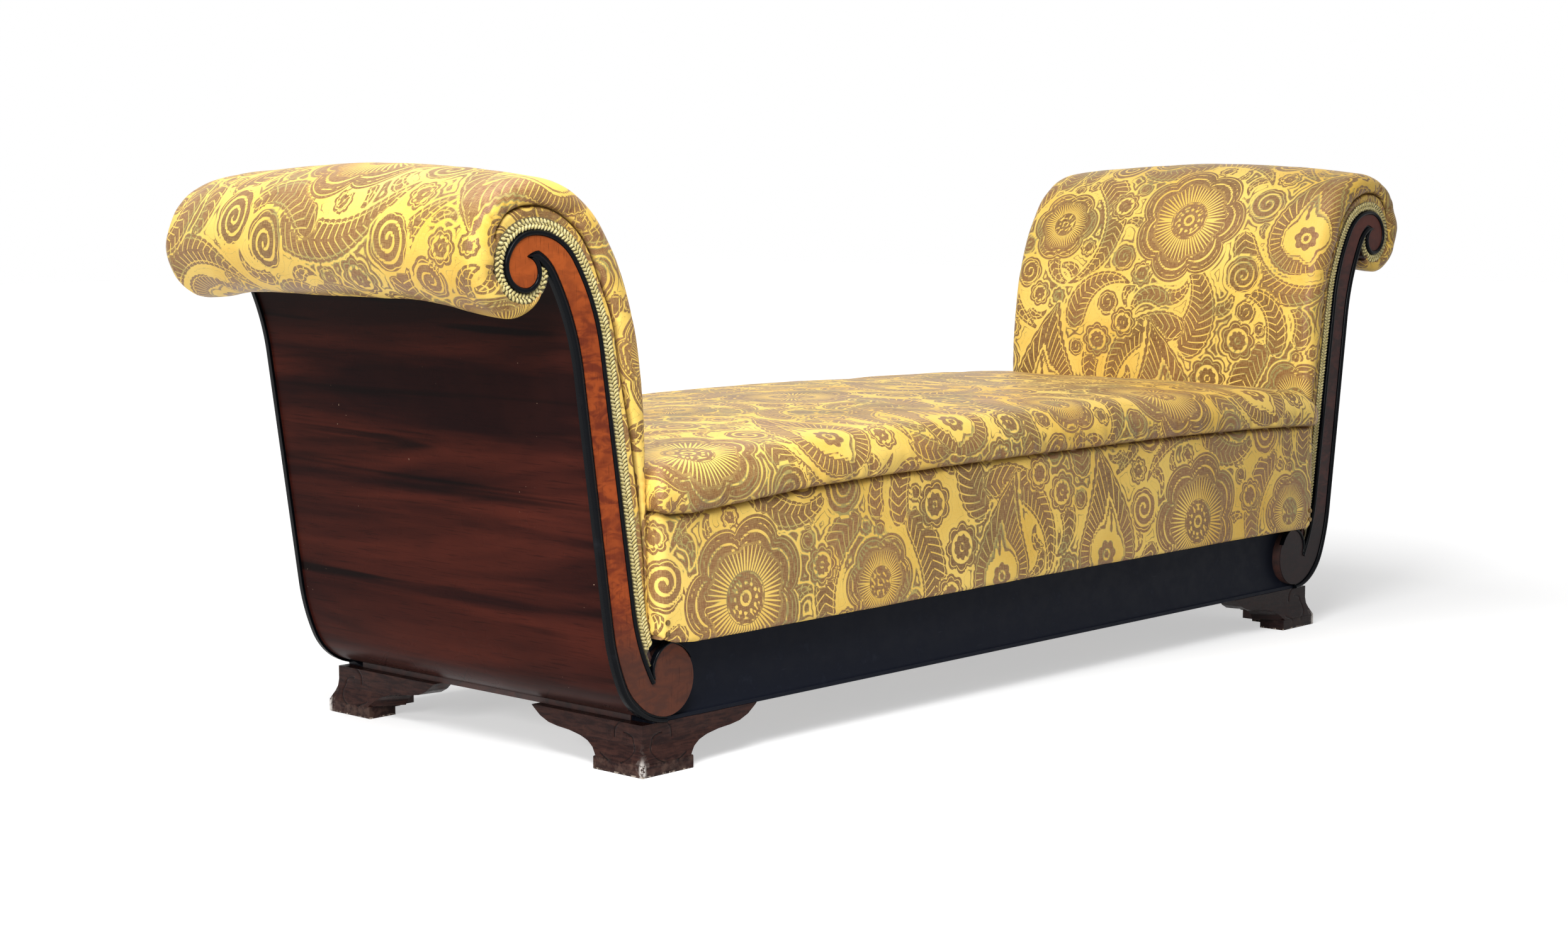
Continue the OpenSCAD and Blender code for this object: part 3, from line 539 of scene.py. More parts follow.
def extrude(outline, y0, y1, bevel=0.0):
    """Closed plate over an outline of (x, z) points between y0 and y1, with its edge at y1 rounded off by bevel."""
    outline = np.asarray(outline, float)
    levels = [(y0, 0.0), (y1 - bevel, 0.0)]
    if bevel:
        levels += [(y1 - bevel * (1 - math.sin(a)), bevel * (1 - math.cos(a))) for a in (0.5, 1.05, math.pi / 2)]
    step = np.roll(outline, -1, 0) - np.roll(outline, 1, 0)
    area = np.sum(outline[:, 0] * np.roll(outline[:, 1], -1) - np.roll(outline[:, 0], -1) * outline[:, 1])
    inward = np.stack([-step[:, 1], step[:, 0]], -1) * np.sign(area)
    inward /= np.linalg.norm(inward, axis=1)[:, None] + 1e-12
    rings = []
    for y, inset in levels:
        p = outline + inward * inset
        rings.append(at_y(p, y))
    return loft(np.array(rings))


# Node materials


class Wire:
    """A number or vector that flows through a material's nodes, with the usual arithmetic."""

    def __init__(self, tree, socket):
        self.tree, self.socket = tree, socket

    def math(self, operation, *others):
        node = self.tree.nodes.new("ShaderNodeMath")
        node.operation = operation
        for socket, value in zip(node.inputs, (self, *others)):
            join(self.tree, value, socket)
        return Wire(self.tree, node.outputs[0])

    def __add__(self, o):
        return self.math("ADD", o)

    def __sub__(self, o):
        return self.math("SUBTRACT", o)

    def __mul__(self, o):
        return self.math("MULTIPLY", o)

    def __truediv__(self, o):
        return self.math("DIVIDE", o)

    __radd__, __rmul__ = __add__, __mul__

    def __rsub__(self, o):
        return (self * -1.0) + o

    def __neg__(self):
        return self * -1.0

    def __abs__(self):
        return self.math("ABSOLUTE")


def join(tree, value, socket):
    """Connects a wire to a socket, or sets the socket to a plain value."""
    if isinstance(value, Wire):
        tree.links.new(value.socket, socket)
    elif isinstance(value, (tuple, list)):
        socket.default_value = (*value, 1.0) if len(value) == 3 and socket.type == "RGBA" else value
    elif socket.type == "VECTOR":
        socket.default_value = (value,) * 3
    else:
        socket.default_value = value


class Paint:
    """A material or the world under construction, with short names for the nodes that it uses."""

    def __init__(self, owner, shader="Principled BSDF"):
        self.owner = bpy.data.materials.new(owner) if isinstance(owner, str) else owner
        self.owner.use_nodes = True
        self.tree = self.owner.node_tree
        self.shader = self.tree.nodes[shader]

    def node(self, kind, output=0, inputs=None, **settings):
        node = self.tree.nodes.new(kind)
        for key, value in settings.items():
            setattr(node, key, value)
        for key, value in (inputs or {}).items():
            join(self.tree, value, node.inputs[key])
        return Wire(self.tree, node.outputs[output])

    def object_point(self):
        return self.node("ShaderNodeTexCoord", "Object")

    def cloth_point(self):
        return self.node("ShaderNodeUVMap", uv_map="Cloth")

    def split(self, vector):
        node = self.tree.nodes.new("ShaderNodeSeparateXYZ")
        join(self.tree, vector, node.inputs[0])
        return [Wire(self.tree, o) for o in node.outputs]

    def field(self, name):
        """A value that the mesh holds for each vertex."""
        return self.node("ShaderNodeAttribute", "Fac", attribute_type="GEOMETRY", attribute_name=name)

    def seen(self):
        """1 where the camera or a reflection looks, and 0 for other light."""
        rays = [self.node("ShaderNodeLightPath", name) for name in ("Is Camera Ray", "Is Glossy Ray")]
        return rays[0].math("MAXIMUM", rays[1])

    def noise(self, vector, scale, detail=2.0, rough=0.5, distortion=0.0):
        inputs = {"Vector": vector, "Scale": scale, "Detail": detail, "Roughness": rough, "Distortion": distortion}
        return self.node("ShaderNodeTexNoise", inputs=inputs)

    def streaks(self, vector, scale, *shape):
        """Noise with a scale of its own in each direction."""
        return self.noise(self.stretched(vector, scale), 1.0, *shape)

    def stretched(self, vector, scale):
        return self.node("ShaderNodeVectorMath", inputs={0: vector, 1: scale}, operation="MULTIPLY")

    def mix(self, share, a, b):
        node = self.tree.nodes.new("ShaderNodeMix")
        node.data_type = "RGBA"
        colours = [s for s in node.inputs if s.type == "RGBA"]
        join(self.tree, share, node.inputs[0])
        join(self.tree, a, colours[0])
        join(self.tree, b, colours[1])
        return Wire(self.tree, [o for o in node.outputs if o.type == "RGBA"][0])

    def layers(self, base, rows):
        """base under colours laid over it one after another. A row is (value, low, high, share, colour)."""
        for value, low, high, share, colour in rows:
            cover = self.ramp(value, low, high)
            base = self.mix(cover if share == 1 else cover * share, base, colour)
        return base

    def ramp(self, value, low, high):
        """0 below low, 1 above high, smooth between."""
        node = self.tree.nodes.new("ShaderNodeMapRange")
        node.interpolation_type = "SMOOTHSTEP"
        join(self.tree, value, node.inputs["Value"])
        node.inputs["From Min"].default_value = low
        node.inputs["From Max"].default_value = high
        return Wire(self.tree, node.outputs[0])

    def bump(self, height, distance, strength=1.0, normal=None):
        inputs = {"Height": height, "Distance": distance, "Strength": strength}
        if normal is not None:
            inputs["Normal"] = normal
        return self.node("ShaderNodeBump", inputs=inputs)

    def finish(self, **sockets):
        for key, value in sockets.items():
            join(self.tree, value, self.shader.inputs[key.replace("_", " ")])
        return self.owner


def srgb(r, g, b):
    """A colour given as it looks on a screen, 0 to 255, as linear light."""
    return tuple(c / 255 / 12.92 if c <= 10 else ((c / 255 + 0.055) / 1.055) ** 2.4 for c in (r, g, b))


def paint_damask():
    """The woven cloth, with its figure where the fields of the mesh say. UV is in metres on the cloth."""
    p = Paint("damask")
    edge, figure, strokes, reach, gap = map(p.field, FIELDS)
    uv = p.cloth_point()
    # Threads step along the outlines, and each thread differs a little
    thread = p.streaks(uv, (900.0, 90.0, 0.0), 1.0)
    pick = p.streaks(uv, (70.0, 1100.0, 0.0), 1.0)
    jitter = (thread + pick - 1.0) * 1.1
    veins = abs(strokes.math("FRACT") - 0.5) * VEIN_PITCH - gap
    woven = figure.math("MINIMUM", veins.math("MAXIMUM", -reach))
    woven = woven.math("MINIMUM", abs(edge - 5.0) - 0.8)
    # Lines that flow round the motifs, thick and thin, and leave some places plain
    swell = p.ramp(p.noise(uv, 9.0, 2.0), 0.45, 0.62) * 2.5 - 0.6 + p.ramp(edge, -20.0, -6.0) * 0.6
    lines = swell - abs(((edge + 6.8) / FLOW_PITCH + 0.5).math("FRACT") - 0.5) * FLOW_PITCH
    woven = woven.math("MAXIMUM", lines.math("MINIMUM", -edge - 3.5))
    woven = woven + jitter
    drift = p.noise(uv, 3.5, 3.0, 0.6)
    gold = p.mix(p.ramp(drift, 0.35, 0.7), srgb(247, 211, 108), srgb(228, 183, 74))
    brown = p.mix(p.ramp(p.noise(uv, 5.0, 2.0), 0.4, 0.65), srgb(136, 94, 58), srgb(114, 79, 43))
    inked = p.ramp(woven, -0.35, 0.35)
    colour = p.mix(inked, gold, brown)
    rim = p.ramp(abs(woven + 0.25), 0.95, 0.45) * p.ramp(p.noise(uv, 9.0, 2.0), 0.46, 0.64) * 0.8
    colour = p.mix(rim, colour, srgb(128, 126, 84))
    # Pale flecks where bright threads cross: painted glints on the threads
    colour = p.mix(p.ramp(thread * pick, 0.12, 0.42) * 0.22, colour, srgb(252, 228, 140))
    # Painted shade in creases and seams, as strong as the mesh's crease shade says
    colour = p.mix(p.field("crease_shade") * 0.62, colour, srgb(84, 56, 28))
    weave = (thread + pick) * 0.5 + inked * 0.25
    slack = p.noise(uv, 30.0, 3.0, 0.6)
    return p.finish(
        Base_Color=colour, Roughness=0.5 - inked * 0.1, Normal=p.bump(weave, 0.0005, 0.45, p.bump(slack, 0.0016, 0.35)),
        Sheen_Weight=0.07, Sheen_Roughness=0.35, Sheen_Tint=srgb(226, 160, 200), Specular_IOR_Level=0.3,
        Specular_Tint=srgb(244, 186, 216),
    )


def paint_flame(name, light, dark, low, glow):
    """Figured veneer. UV is (x, z) in metres on the face."""
    p = Paint(name)
    uv = p.cloth_point()
    z = p.split(uv)[1]
    mottle = p.streaks(uv, (26.0, 58.0, 0.0), 3.0, 0.55, 1.3)
    cloud = p.noise(uv, 14.0, 3.0, 0.6, 0.8)
    grain = p.streaks(uv, (520.0, 34.0, 0.0), 3.0, 0.6, 0.4)
    colour = p.layers(dark, [
        (mottle, 0.34, 0.68, 1, light),
        (cloud, 0.45, 0.75, 0.5, dark),
        # Lighter towards the top, in the colour glow: painted light
        (z, 0.60, 0.74, 0.55, glow),
        (z, 0.26, 0.15, 0.85, low),
        (grain, 0.42, 0.30, 0.5, srgb(40, 16, 10)),
    ])
    rough = p.ramp(cloud, 0.2, 0.8) * 0.12 + 0.26
    return p.finish(
        Base_Color=colour, Roughness=rough, Specular_IOR_Level=0.08, Normal=p.bump(grain, 0.0002, 0.25)
    )


def paint_streaked():
    """The glossy outer panels. UV is (y, run from the floor) in metres."""
    p = Paint("streaked_mahogany")
    uv = p.cloth_point()
    across, run, _ = p.split(uv)
    wide = p.streaks(uv, (1.1, 11.0, 0.0), 4.0, 0.55, 0.5)
    dark = p.streaks(uv, (0.9, 19.0, 0.0), 3.0, 0.5, 1.2)
    fibre = p.streaks(uv, (16.0, 420.0, 0.0), 3.0, 0.6, 0.3)
    patch = p.noise(uv, 5.0, 3.0, 0.6)
    colour = p.layers(srgb(30, 13, 13), [
        (wide, 0.36, 0.66, 1, srgb(80, 35, 26)),
        (patch, 0.45, 0.7, 0.4, srgb(46, 22, 18)),
        (dark, 0.54, 0.70, 0.9, srgb(15, 9, 9)),
        (fibre, 0.46, 0.30, 0.45, srgb(18, 10, 9)),
        # Near-black under the edge roll: partly a dark stain, partly painted shade cast by the roll
        (run, 0.50, 0.66, 0.85, srgb(12, 8, 8)),
        (run, 0.11, 0.05, 0.6, srgb(60, 42, 39)),
    ])
    # Slanting joints in the lowest part, and pale specks
    joint = p.ramp(abs((across * 5.5 + run * 6.0).math("FRACT") - 0.5), 0.012, 0.004)
    colour = p.mix(p.ramp(run, 0.11, 0.05) * joint * 0.7, colour, srgb(30, 16, 12))
    speck = p.ramp(p.noise(uv, 210.0, 1.0), 0.76, 0.80) * p.ramp(p.noise(uv, 7.0, 2.0), 0.56, 0.66)
    colour = p.mix(speck * 0.7, colour, srgb(168, 142, 120))
    rough = p.ramp(patch, 0.3, 0.8) * 0.16 + 0.24
    return p.finish(
        Base_Color=colour, Roughness=rough, Specular_IOR_Level=0.02,
        Normal=p.bump(fibre, 0.0002, 0.2, p.bump(wide, 0.002, 0.06))
    )


def paint_lacquer(name, colour, worn, roughness, level):
    """Ebonised or dark stained wood, with scratches and rubbed places."""
    p = Paint(name)
    at = p.object_point()
    rub = p.noise(at, 38.0, 4.0, 0.65)
    scratch = p.streaks(at, (40.0, 300.0, 300.0), 2.0, 0.5, 0.6)
    tone = p.layers(colour, [(rub, 0.55, 0.8, 0.5, worn), (scratch, 0.70, 0.78, 0.35, worn)])
    return p.finish(
        Base_Color=tone, Roughness=p.ramp(rub, 0.3, 0.8) * 0.2 + roughness, Specular_IOR_Level=level,
        Normal=p.bump(scratch, 0.0002, 0.15, p.bump(rub, 0.0006, 0.12))
    )


def paint_foot():
    """Dark feet with rubbed lips and corners. The carved lines are darkened with painted shade."""
    p = Paint("foot_polish")
    at = p.object_point()
    x, y, z = p.split(at)
    rub = p.noise(at, 60.0, 4.0, 0.65)
    grain = p.streaks(at, (30.0, 30.0, 240.0), 3.0, 0.6, 0.5)
    patch = p.noise(at, 110.0, 3.0, 0.7)
    from_corner = (FOOT_X - abs(x)).math("MAXIMUM", FOOT_Y - abs(y))
    tone = p.layers(srgb(32, 17, 16), [
        (grain, 0.35, 0.7, 1, srgb(58, 35, 30)),
        (rub, 0.5, 0.75, 0.5, srgb(74, 48, 40)),
        (z, 0.022, 0.016, p.ramp(rub, 0.42, 0.66) * 0.35, srgb(104, 84, 74)),
        # Painted shade in the carved lines
        (p.field("carved"), 0.25, 0.75, 0.85, srgb(14, 9, 10)),
        # The right feet are darker: painted shade
        (x, 0.0, 0.5, 0.65, srgb(17, 12, 14)),
        # Worn corners, chips on them and a rubbed lower edge
        (from_corner, 0.0145, 0.0125, p.ramp(patch, 0.45, 0.6) * p.ramp(z, 0.05, 0.015) * 0.16, srgb(170, 158, 150)),
        (from_corner, 0.0085, 0.003, p.ramp(patch, 0.40, 0.52) * p.ramp(z, 0.03, 0.012), srgb(214, 208, 202)),
        (z, 0.0035, 0.0015, p.ramp(p.noise(at, 90.0, 3.0, 0.7), 0.5, 0.6) * 0.8, srgb(190, 176, 160)),
    ])
    return p.finish(
        Base_Color=tone, Roughness=p.ramp(rub, 0.3, 0.8) * 0.25 + 0.24, Specular_IOR_Level=0.08,
        Normal=p.bump(grain, 0.0003, 0.2, p.bump(rub, 0.0008, 0.2))
    )


def paint_yarn(name, light, dark, fine):
    p = Paint(name)
    at = p.object_point()
    fibre = p.noise(at, 1900.0, 2.0, 0.6)
    tone = p.layers(dark, [(p.noise(at, fine, 2.0, 0.5), 0.36, 0.66, 1, light), (fibre, 0.5, 0.35, 0.4, dark)])
    return p.finish(
        Base_Color=tone, Roughness=0.7, Normal=p.bump(fibre, 0.0003, 0.5), Sheen_Weight=0.25, Sheen_Roughness=0.4
    )


def paint_timber(name, light, dark):
    p = Paint(name)
    at = p.object_point()
    grain = p.streaks(at, (8.0, 60.0, 60.0), 4.0, 0.6, 0.6)
    pore = p.streaks(at, (60.0, 600.0, 600.0), 2.0)
    tone = p.layers(light, [(grain, 0.35, 0.7, 1, dark), (pore, 0.42, 0.32, 0.35, dark)])
    return p.finish(Base_Color=tone, Roughness=0.62, Normal=p.bump(pore, 0.0003, 0.3))


def paint_cloth(name, light, dark, pitch):
    """Coarse plain cloth, such as hessian and webbing."""
    p = Paint(name)
    at = p.object_point()
    x, y, z = p.split(at)
    turns = 2 * math.pi / pitch
    over = (x * turns).math("SINE") * (y * turns).math("SINE") * (z * turns).math("COSINE")
    fibre = p.noise(at, 700.0, 2.0, 0.6)
    tone = p.mix(p.ramp(fibre + over * 0.25, 0.3, 0.75), dark, light)
    return p.finish(Base_Color=tone, Roughness=0.85, Normal=p.bump(over * 0.5 + fibre, 0.0006, 0.5))


def paint_metal(name, colour, rust):
    p = Paint(name)
    at = p.object_point()
    spot = p.ramp(p.noise(at, 160.0, 3.0, 0.6), 0.45, 0.7)
    return p.finish(
        Base_Color=p.mix(spot, colour, rust), Metallic=0.85, Roughness=spot * 0.3 + 0.35,
        Normal=p.bump(spot, 0.0002, 0.2)
    )


DAMASK = paint_damask()
VENEER = paint_flame("flame_veneer", srgb(164, 76, 34), srgb(110, 45, 25), srgb(66, 44, 37), srgb(188, 96, 42))
# A darker copy of the flame veneer for the right end: painted shade
VENEER_SHADED = paint_flame("dark_veneer", srgb(74, 36, 30), srgb(42, 22, 21), srgb(26, 20, 22), srgb(112, 50, 34))
PANEL = paint_streaked()
EBONY = paint_lacquer("ebony", srgb(6, 8, 12), srgb(30, 32, 37), 0.18, 0.07)
RAIL = paint_lacquer("ebonised_rail", srgb(19, 22, 31), srgb(40, 43, 52), 0.42, 0.05)
FOOT = paint_foot()
GIMP = paint_yarn("gimp_yarn", srgb(230, 217, 160), srgb(194, 177, 108), 300.0)
# The base's dark olive colour is painted shade between the stitches
GIMP_SHADE_BASE = paint_yarn("gimp_base", srgb(104, 92, 50), srgb(62, 52, 28), 300.0)
BEECH = paint_timber("beech", srgb(176, 138, 96), srgb(132, 96, 62))
BOARD = paint_timber("board_mahogany", srgb(60, 32, 26), srgb(34, 18, 16))
JUTE = paint_cloth("jute", srgb(170, 140, 96), srgb(104, 82, 50), 0.003)
HAIR = paint_yarn("curled_hair", srgb(84, 70, 54), srgb(34, 28, 22), 500.0)
BRASS = paint_metal("dark_brass", srgb(128, 104, 62), srgb(62, 46, 34))
STEEL = paint_metal("steel", srgb(120, 120, 124), srgb(84, 62, 48))

ENDS = {"left": -1, "right": 1}
SIDES = {"front": -1, "back": 1}
CORNERS = [(f"{e}_{s}", end, side) for e, end in ENDS.items() for s, side in SIDES.items()]


# Scrolled faces


def outer_inset(pos):
    """Points of the facing's outer boundary, inside the outer bead."""
    return OUTER.beside(pos, OUTER_BEAD_W * lookup(pos, OUTER_BEAD_SHARES))


def disc_outline(grow=0.0, start=12.0, stop=270.0, count=60):
    """The disc's edge, which draws in to the notch beside the band. Angles are in degrees."""
    a = np.linspace(start, stop, count)
    k = np.clip((a - 12) / 88, 0, 1)
    r = DISC_R * (0.46 + 0.54 * k) + grow
    return DISC + r[:, None] * np.stack([np.cos(np.radians(a)), np.sin(np.radians(a))], -1)


def facing_outline():
    """Outline (x, z) of a veneered face with its disc."""
    outer = outer_inset(OUTER.spaced(0, 5, 4 * MM))
    inner = INNER.beside(INNER.spaced(0, 7, 3 * MM), -INNER_BEAD_W)
    return np.concatenate([outer, inner[::-1], disc_outline()])


def back_outline():
    """Outline (x, z) of the board behind the trimming, out under the cover."""
    outer = outer_inset(OUTER.spaced(0, 4.5, 4 * MM))
    inner = INNER.beside(INNER.spaced(0.2, 6.3, 4 * MM), 14 * MM)
    return np.concatenate([outer, inner[::-1], disc_outline(-0.2 * MM, start=60.0)])


def scroll_faces():
    """The veneered faces and the boards that carry them."""
    face = extrude(facing_outline(), BAND_Y, VENEER_Y, 0.5 * MM)
    board = joined([
        extrude(back_outline(), BOARD_BACK_Y, BOARD_Y - 0.2 * MM),
        extrude(facing_outline(), BOARD_Y - 0.4 * MM, BAND_Y),
    ])
    for where, end, side in CORNERS:
        # The right end's faces take the darker copy: painted shade
        material = VENEER if end < 0 else VENEER_SHADED
        uv = face[0][:, [0, 2]] * [end, 1]
        make(f"{where}_face", face, material, "frame", f"{where}_veneer", (end, side), uv)
        make(f"{where}_board", board, BOARD, "frame", f"{where}_scroll_board", (end, side))


def sweep(path, across, widths, section):
    """Closed skin along a path of (x, z) points. section lists (share of the width, y); across is the unit normal."""
    return solid(np.stack([at_y(path + across * (widths * share)[:, None], y) for share, y in section], 1))


def bead_section(width, low, high, fillet):
    """A rounded bead with a small fillet beside it, as (share of the width, y)."""
    round_w = 1 - fillet
    r = min(width * round_w / 2, (high - low) * 0.8)
    base = high - r
    points = [(0.0, low), (0.0, base)]
    for a in np.linspace(0, 180, 11)[1:-1]:
        points.append((round_w / 2 * (1 - math.cos(math.radians(a))), base + r * math.sin(math.radians(a))))
    if fillet:
        points += [(round_w, base - 0.2 * MM), (round_w + 0.02, base + 0.1 * MM), (1.0, base + 0.1 * MM)]
    else:
        points.append((1.0, base))
    points.append((1.0, low))
    return points


def beads():
    """The ebonised beads along both edges of the faces, and round the discs."""
    pos = OUTER.spaced(0, 5, 5 * MM)
    widths = OUTER_BEAD_W * np.maximum(lookup(pos, OUTER_BEAD_SHARES), 0.03)
    section = bead_section(OUTER_BEAD_W, BEAD_BACK_Y, FACE_Y, 0.28)
    outer = sweep(OUTER.beside(pos, 0), OUTER.normal(pos), widths, section)

    low = BOARD_Y - 0.5 * MM
    pos = INNER.spaced(0, 7, 3 * MM)
    section = bead_section(INNER_BEAD_W, low, FACE_Y - 0.3 * MM, 0.0)
    inner = sweep(INNER.beside(pos, 0), -INNER.normal(pos), np.full(len(pos), INNER_BEAD_W), section)

    disc = disc_outline(start=12, stop=150, count=40)
    out = disc - DISC
    out /= np.linalg.norm(out, axis=1)[:, None]
    widths = DISC_BEAD_W * np.clip(np.linspace(3.2, 0.02, 40), 0, 1)
    section = bead_section(DISC_BEAD_W, low, FACE_Y - 0.8 * MM, 0.0)
    inner = joined([inner, sweep(disc, out, widths, section)])
    for where, end, side in CORNERS:
        make(f"{where}_outer_edge", outer, EBONY, "frame", f"{where}_outer_bead", (end, side))
        make(f"{where}_inner_edge", inner, EBONY, "frame", f"{where}_inner_bead", (end, side))


# Outer panels and rails


def outer_panels():
    """The veneered panels that close the ends, curved along the boards' outer edge."""
    pos = OUTER.spaced(0.26, 4.62, 6 * MM)
    ys = np.linspace(-BEAD_BACK_Y - 0.5 * MM, BEAD_BACK_Y + 0.5 * MM, 90)
    skins = zip(OUTER.beside(pos, OUTER_BEAD_W - PANEL_T), OUTER.beside(pos, OUTER_BEAD_W))
    rings = [[(a, y, b) for y in ys] + [(c, y, d) for y in ys[::-1]] for (a, b), (c, d) in skins]
    uv = [[(y, run) for y in ys] + [(y, run + 0.02) for y in ys[::-1]] for run in OUTER.length(pos)]
    panel = solid(np.array(rings))
    for end_name, end in ENDS.items():
        make(f"{end_name}_panel", panel, PANEL, "frame", f"{end_name}_outer_panel", (end, 1), np.array(uv))


RAIL_SETBACK = 20 * MM
RAIL_PLINTH_H = 6 * MM
RAIL_COVE_H = 34 * MM
FOOT_SETBACK = 11 * MM


def rail_profile():
    """(y, z) of a long rail's section, from its inner bottom edge round to its inner top edge."""
    back, front, plinth = RAIL_BACK_Y, FACE_Y - RAIL_SETBACK, FOOT_Y - FOOT_SETBACK
    low, top = FOOT_H, SEAT_Z
    points = [(back, low), (plinth - 0.8 * MM, low), (plinth, low + 0.8 * MM), (plinth, low + RAIL_PLINTH_H)]
    for a in np.radians(np.linspace(0, 90, 16)[1:]):
        points.append(
            (front + (plinth - front) * (1 - math.sin(a)), low + RAIL_PLINTH_H + RAIL_COVE_H * (1 - math.cos(a)))
        )
    points += [(front, z) for z in np.linspace(low + RAIL_PLINTH_H + RAIL_COVE_H, top - 1.5 * MM, 10)[1:]]
    points += [(front - 1.5 * MM, top), (back, top)]
    return points


def long_rails():
    shares = np.linspace(-1, 1, 60)
    rings = []
    for y, z in rail_profile():
        # A rail ends at the disc, under it, above it, or between the boards
        inside_disc = math.sqrt(max(DISC_R**2 - (z - DISC[1]) ** 2, 0))
        half = SCROLL[0] + (24 * MM if z < DISC[1] - DISC_R else 3 * MM - inside_disc)
        if z > DISC[1] + DISC_R - 2 * MM:
            half = SCROLL[0] + 18 * MM
        if y < BOARD_BACK_Y:
            half = SCROLL[0] + 26 * MM
        rings.append([(half * s, y, z) for s in shares])
    rail = solid(np.array(rings).transpose(1, 0, 2))
    for side_name, side in SIDES.items():
        make(f"{side_name}_long_rail", rail, RAIL, "frame", f"{side_name}_rail", (1, side))


# Feet

LIP_H = 18.5 * MM
LIP_LEN = 99 * MM
LIP_STEPS = 67
WING_LEN = 239 * MM
WING_BACK = 50 * MM
WING_STEPS, WING_ROWS = 161, 38
# Section of the lip: distance in from the face, and height
LIP_EDGE = np.array([(0.8, 0), (0, 1), (0, 6), (0, 12), (0, 17), (0.5, 18.1), (1.6, 18.5), (50, 18.5), (50, 0)]) * MM
# Lower edge of a bracket: distance from the corner and height, in millimetres
WING_EDGE = [
    (0, 18.5), (94, 18.5), (95, 19), (97, 22), (103, 29), (115, 36), (132, 41), (156, 45), (182, 47), (202, 50),
    (220, 57), (233, 66), (239, 70.5),
]
# Share of the height over the lip, and share of the setback
WING_COVE = [(0, 0), (0.04, 0.12), (0.12, 0.3), (0.25, 0.62), (0.4, 0.88), (0.6, 1)]
# Carved lines: distance from the corner and height, in millimetres
CARVED = [
    [(48, 57), (40, 56), (31, 52), (28, 44), (24, 34), (32, 22), (49, 15), (63, 15), (75, 19), (88, 24)],
    [(48, 72), (58, 69), (64, 63), (66, 59), (67, 48)],
]
CARVED_W = 1.1 * MM


def near_lines(a, z):
    """Distance from places on a bracket's face to the carved lines."""
    best = np.full(a.shape, 1.0)
    for line in CARVED:
        points = curve_through(np.array([line], float), 6 * len(line))[0] * MM
        for p, q in zip(points[:-1], points[1:]):
            d = q - p
            t = np.clip(((a - p[0]) * d[0] + (z - p[1]) * d[1]) / (d @ d + 1e-12), 0, 1)
            best = np.minimum(best, np.hypot(a - p[0] - t * d[0], z - p[1] - t * d[1]))
    return best


def wing():
    """A bracket and its lip: points (along from the corner, in from the face, up), faces and depth of carving."""
    share = np.linspace(0, 1, WING_STEPS)[:, None]
    low = lookup(share * WING_LEN / MM, WING_EDGE) * MM
    z = low + (FOOT_H - low) * np.linspace(0, 1, WING_ROWS)
    t = FOOT_SETBACK * lookup((z - LIP_H) / (FOOT_H - LIP_H), WING_COVE)
    groove = bell(near_lines(t + share * (WING_LEN - t), z), CARVED_W)
    t = np.concatenate([t + groove * 1.1 * MM, 0 * share + WING_BACK, 0 * share + WING_BACK], 1)
    z = np.concatenate([z, z[:, -1:], z[:, :1]], 1)
    bracket = loft(np.stack([t + share * (WING_LEN - t), t, z], -1))
    depth = np.concatenate([groove, 0 * z[:, :2]], 1)

    share = np.linspace(0, 1, LIP_STEPS)[:, None]
    t, z = 0 * share + LIP_EDGE[:, 0], 0 * share + LIP_EDGE[:, 1]
    groove = bell(near_lines(share * LIP_LEN, z), CARVED_W) * (t < 2 * MM)
    t = t + groove * MM
    lip = loft(np.stack([t + share * (LIP_LEN - t), t, z], -1))
    return *joined([bracket, lip]), np.concatenate([depth.ravel(), groove.ravel()])


def feet():
    """Four feet, each of two brackets that meet at the corner."""
    verts, faces, depth = wing()
    a, t, z = verts.T
    front = np.stack([FOOT_X - a, FOOT_Y - t, z], -1)
    side = np.stack([FOOT_X - t, FOOT_Y - a, z], -1)
    both = joined([(front, outward(front, faces)), (side, outward(side, faces))])
    carved = [("carved", np.tile(depth, 2))]
    for where, end, side in CORNERS:
        end_name, side_name = where.split("_")
        old = f"{side_name}_{end_name}_foot"
        make(f"{where}_bracket", both, FOOT, "frame", old, (end, side), sharp=35, fields=carved)


# Inside the seat and the ends


def tube(path, normal, wide, high, sides, ring=False):
    """Skin of an oval bar along a path. normal is the direction of its width, at each point."""
    path, normal = np.asarray(path, float), np.asarray(normal, float)
    step = np.roll(path, -1, 0) - np.roll(path, 1, 0) if ring else np.gradient(path, axis=0)
    other = np.cross(step / np.linalg.norm(step, axis=1)[:, None], normal)
    turn = np.linspace(0, 2 * math.pi, sides, endpoint=False)[None, :, None]
    rings = path[:, None] + normal[:, None] * np.cos(turn) * wide + other[:, None] * np.sin(turn) * high
    if not ring:
        return solid(rings)
    faces = grid_faces(len(path) + 1, sides, wrap=True) % (len(path) * sides)
    return rings.reshape(-1, 3), outward(rings, faces.tolist())


def band(path, across, wide, thick=1.9 * MM):
    """A flat strip along a path; across is the direction of its width."""
    path = np.asarray(path, float)
    step = np.gradient(path, axis=0)
    up = np.cross(step / np.linalg.norm(step, axis=1)[:, None], across)
    shares = (-0.5, -0.25, 0, 0.25, 0.5)
    section = [(w, -0.5) for w in shares] + [(w, 0.5) for w in shares[::-1]]
    return solid(np.stack([path + np.array(across) * wide * w + up * thick * h for w, h in section], 1))


def slab(top, bottom):
    """Closed sheet between two grids of points, shape (rows, cols, 3)."""
    return solid(np.concatenate([top, bottom[:, ::-1]], 1))


WEB_W = 50 * MM
LONG_WEBS, SHORT_WEBS = 6, 15
WELL_X, WELL_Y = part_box("seat_webbing")[1][:2]
WEB_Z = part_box("seat_webbing")[0][2] + 2 * MM


def centres(half, count):
    """Middle lines of webs that fill a width of twice half."""
    return np.linspace(-half + WEB_W / 2, half - WEB_W / 2, count)


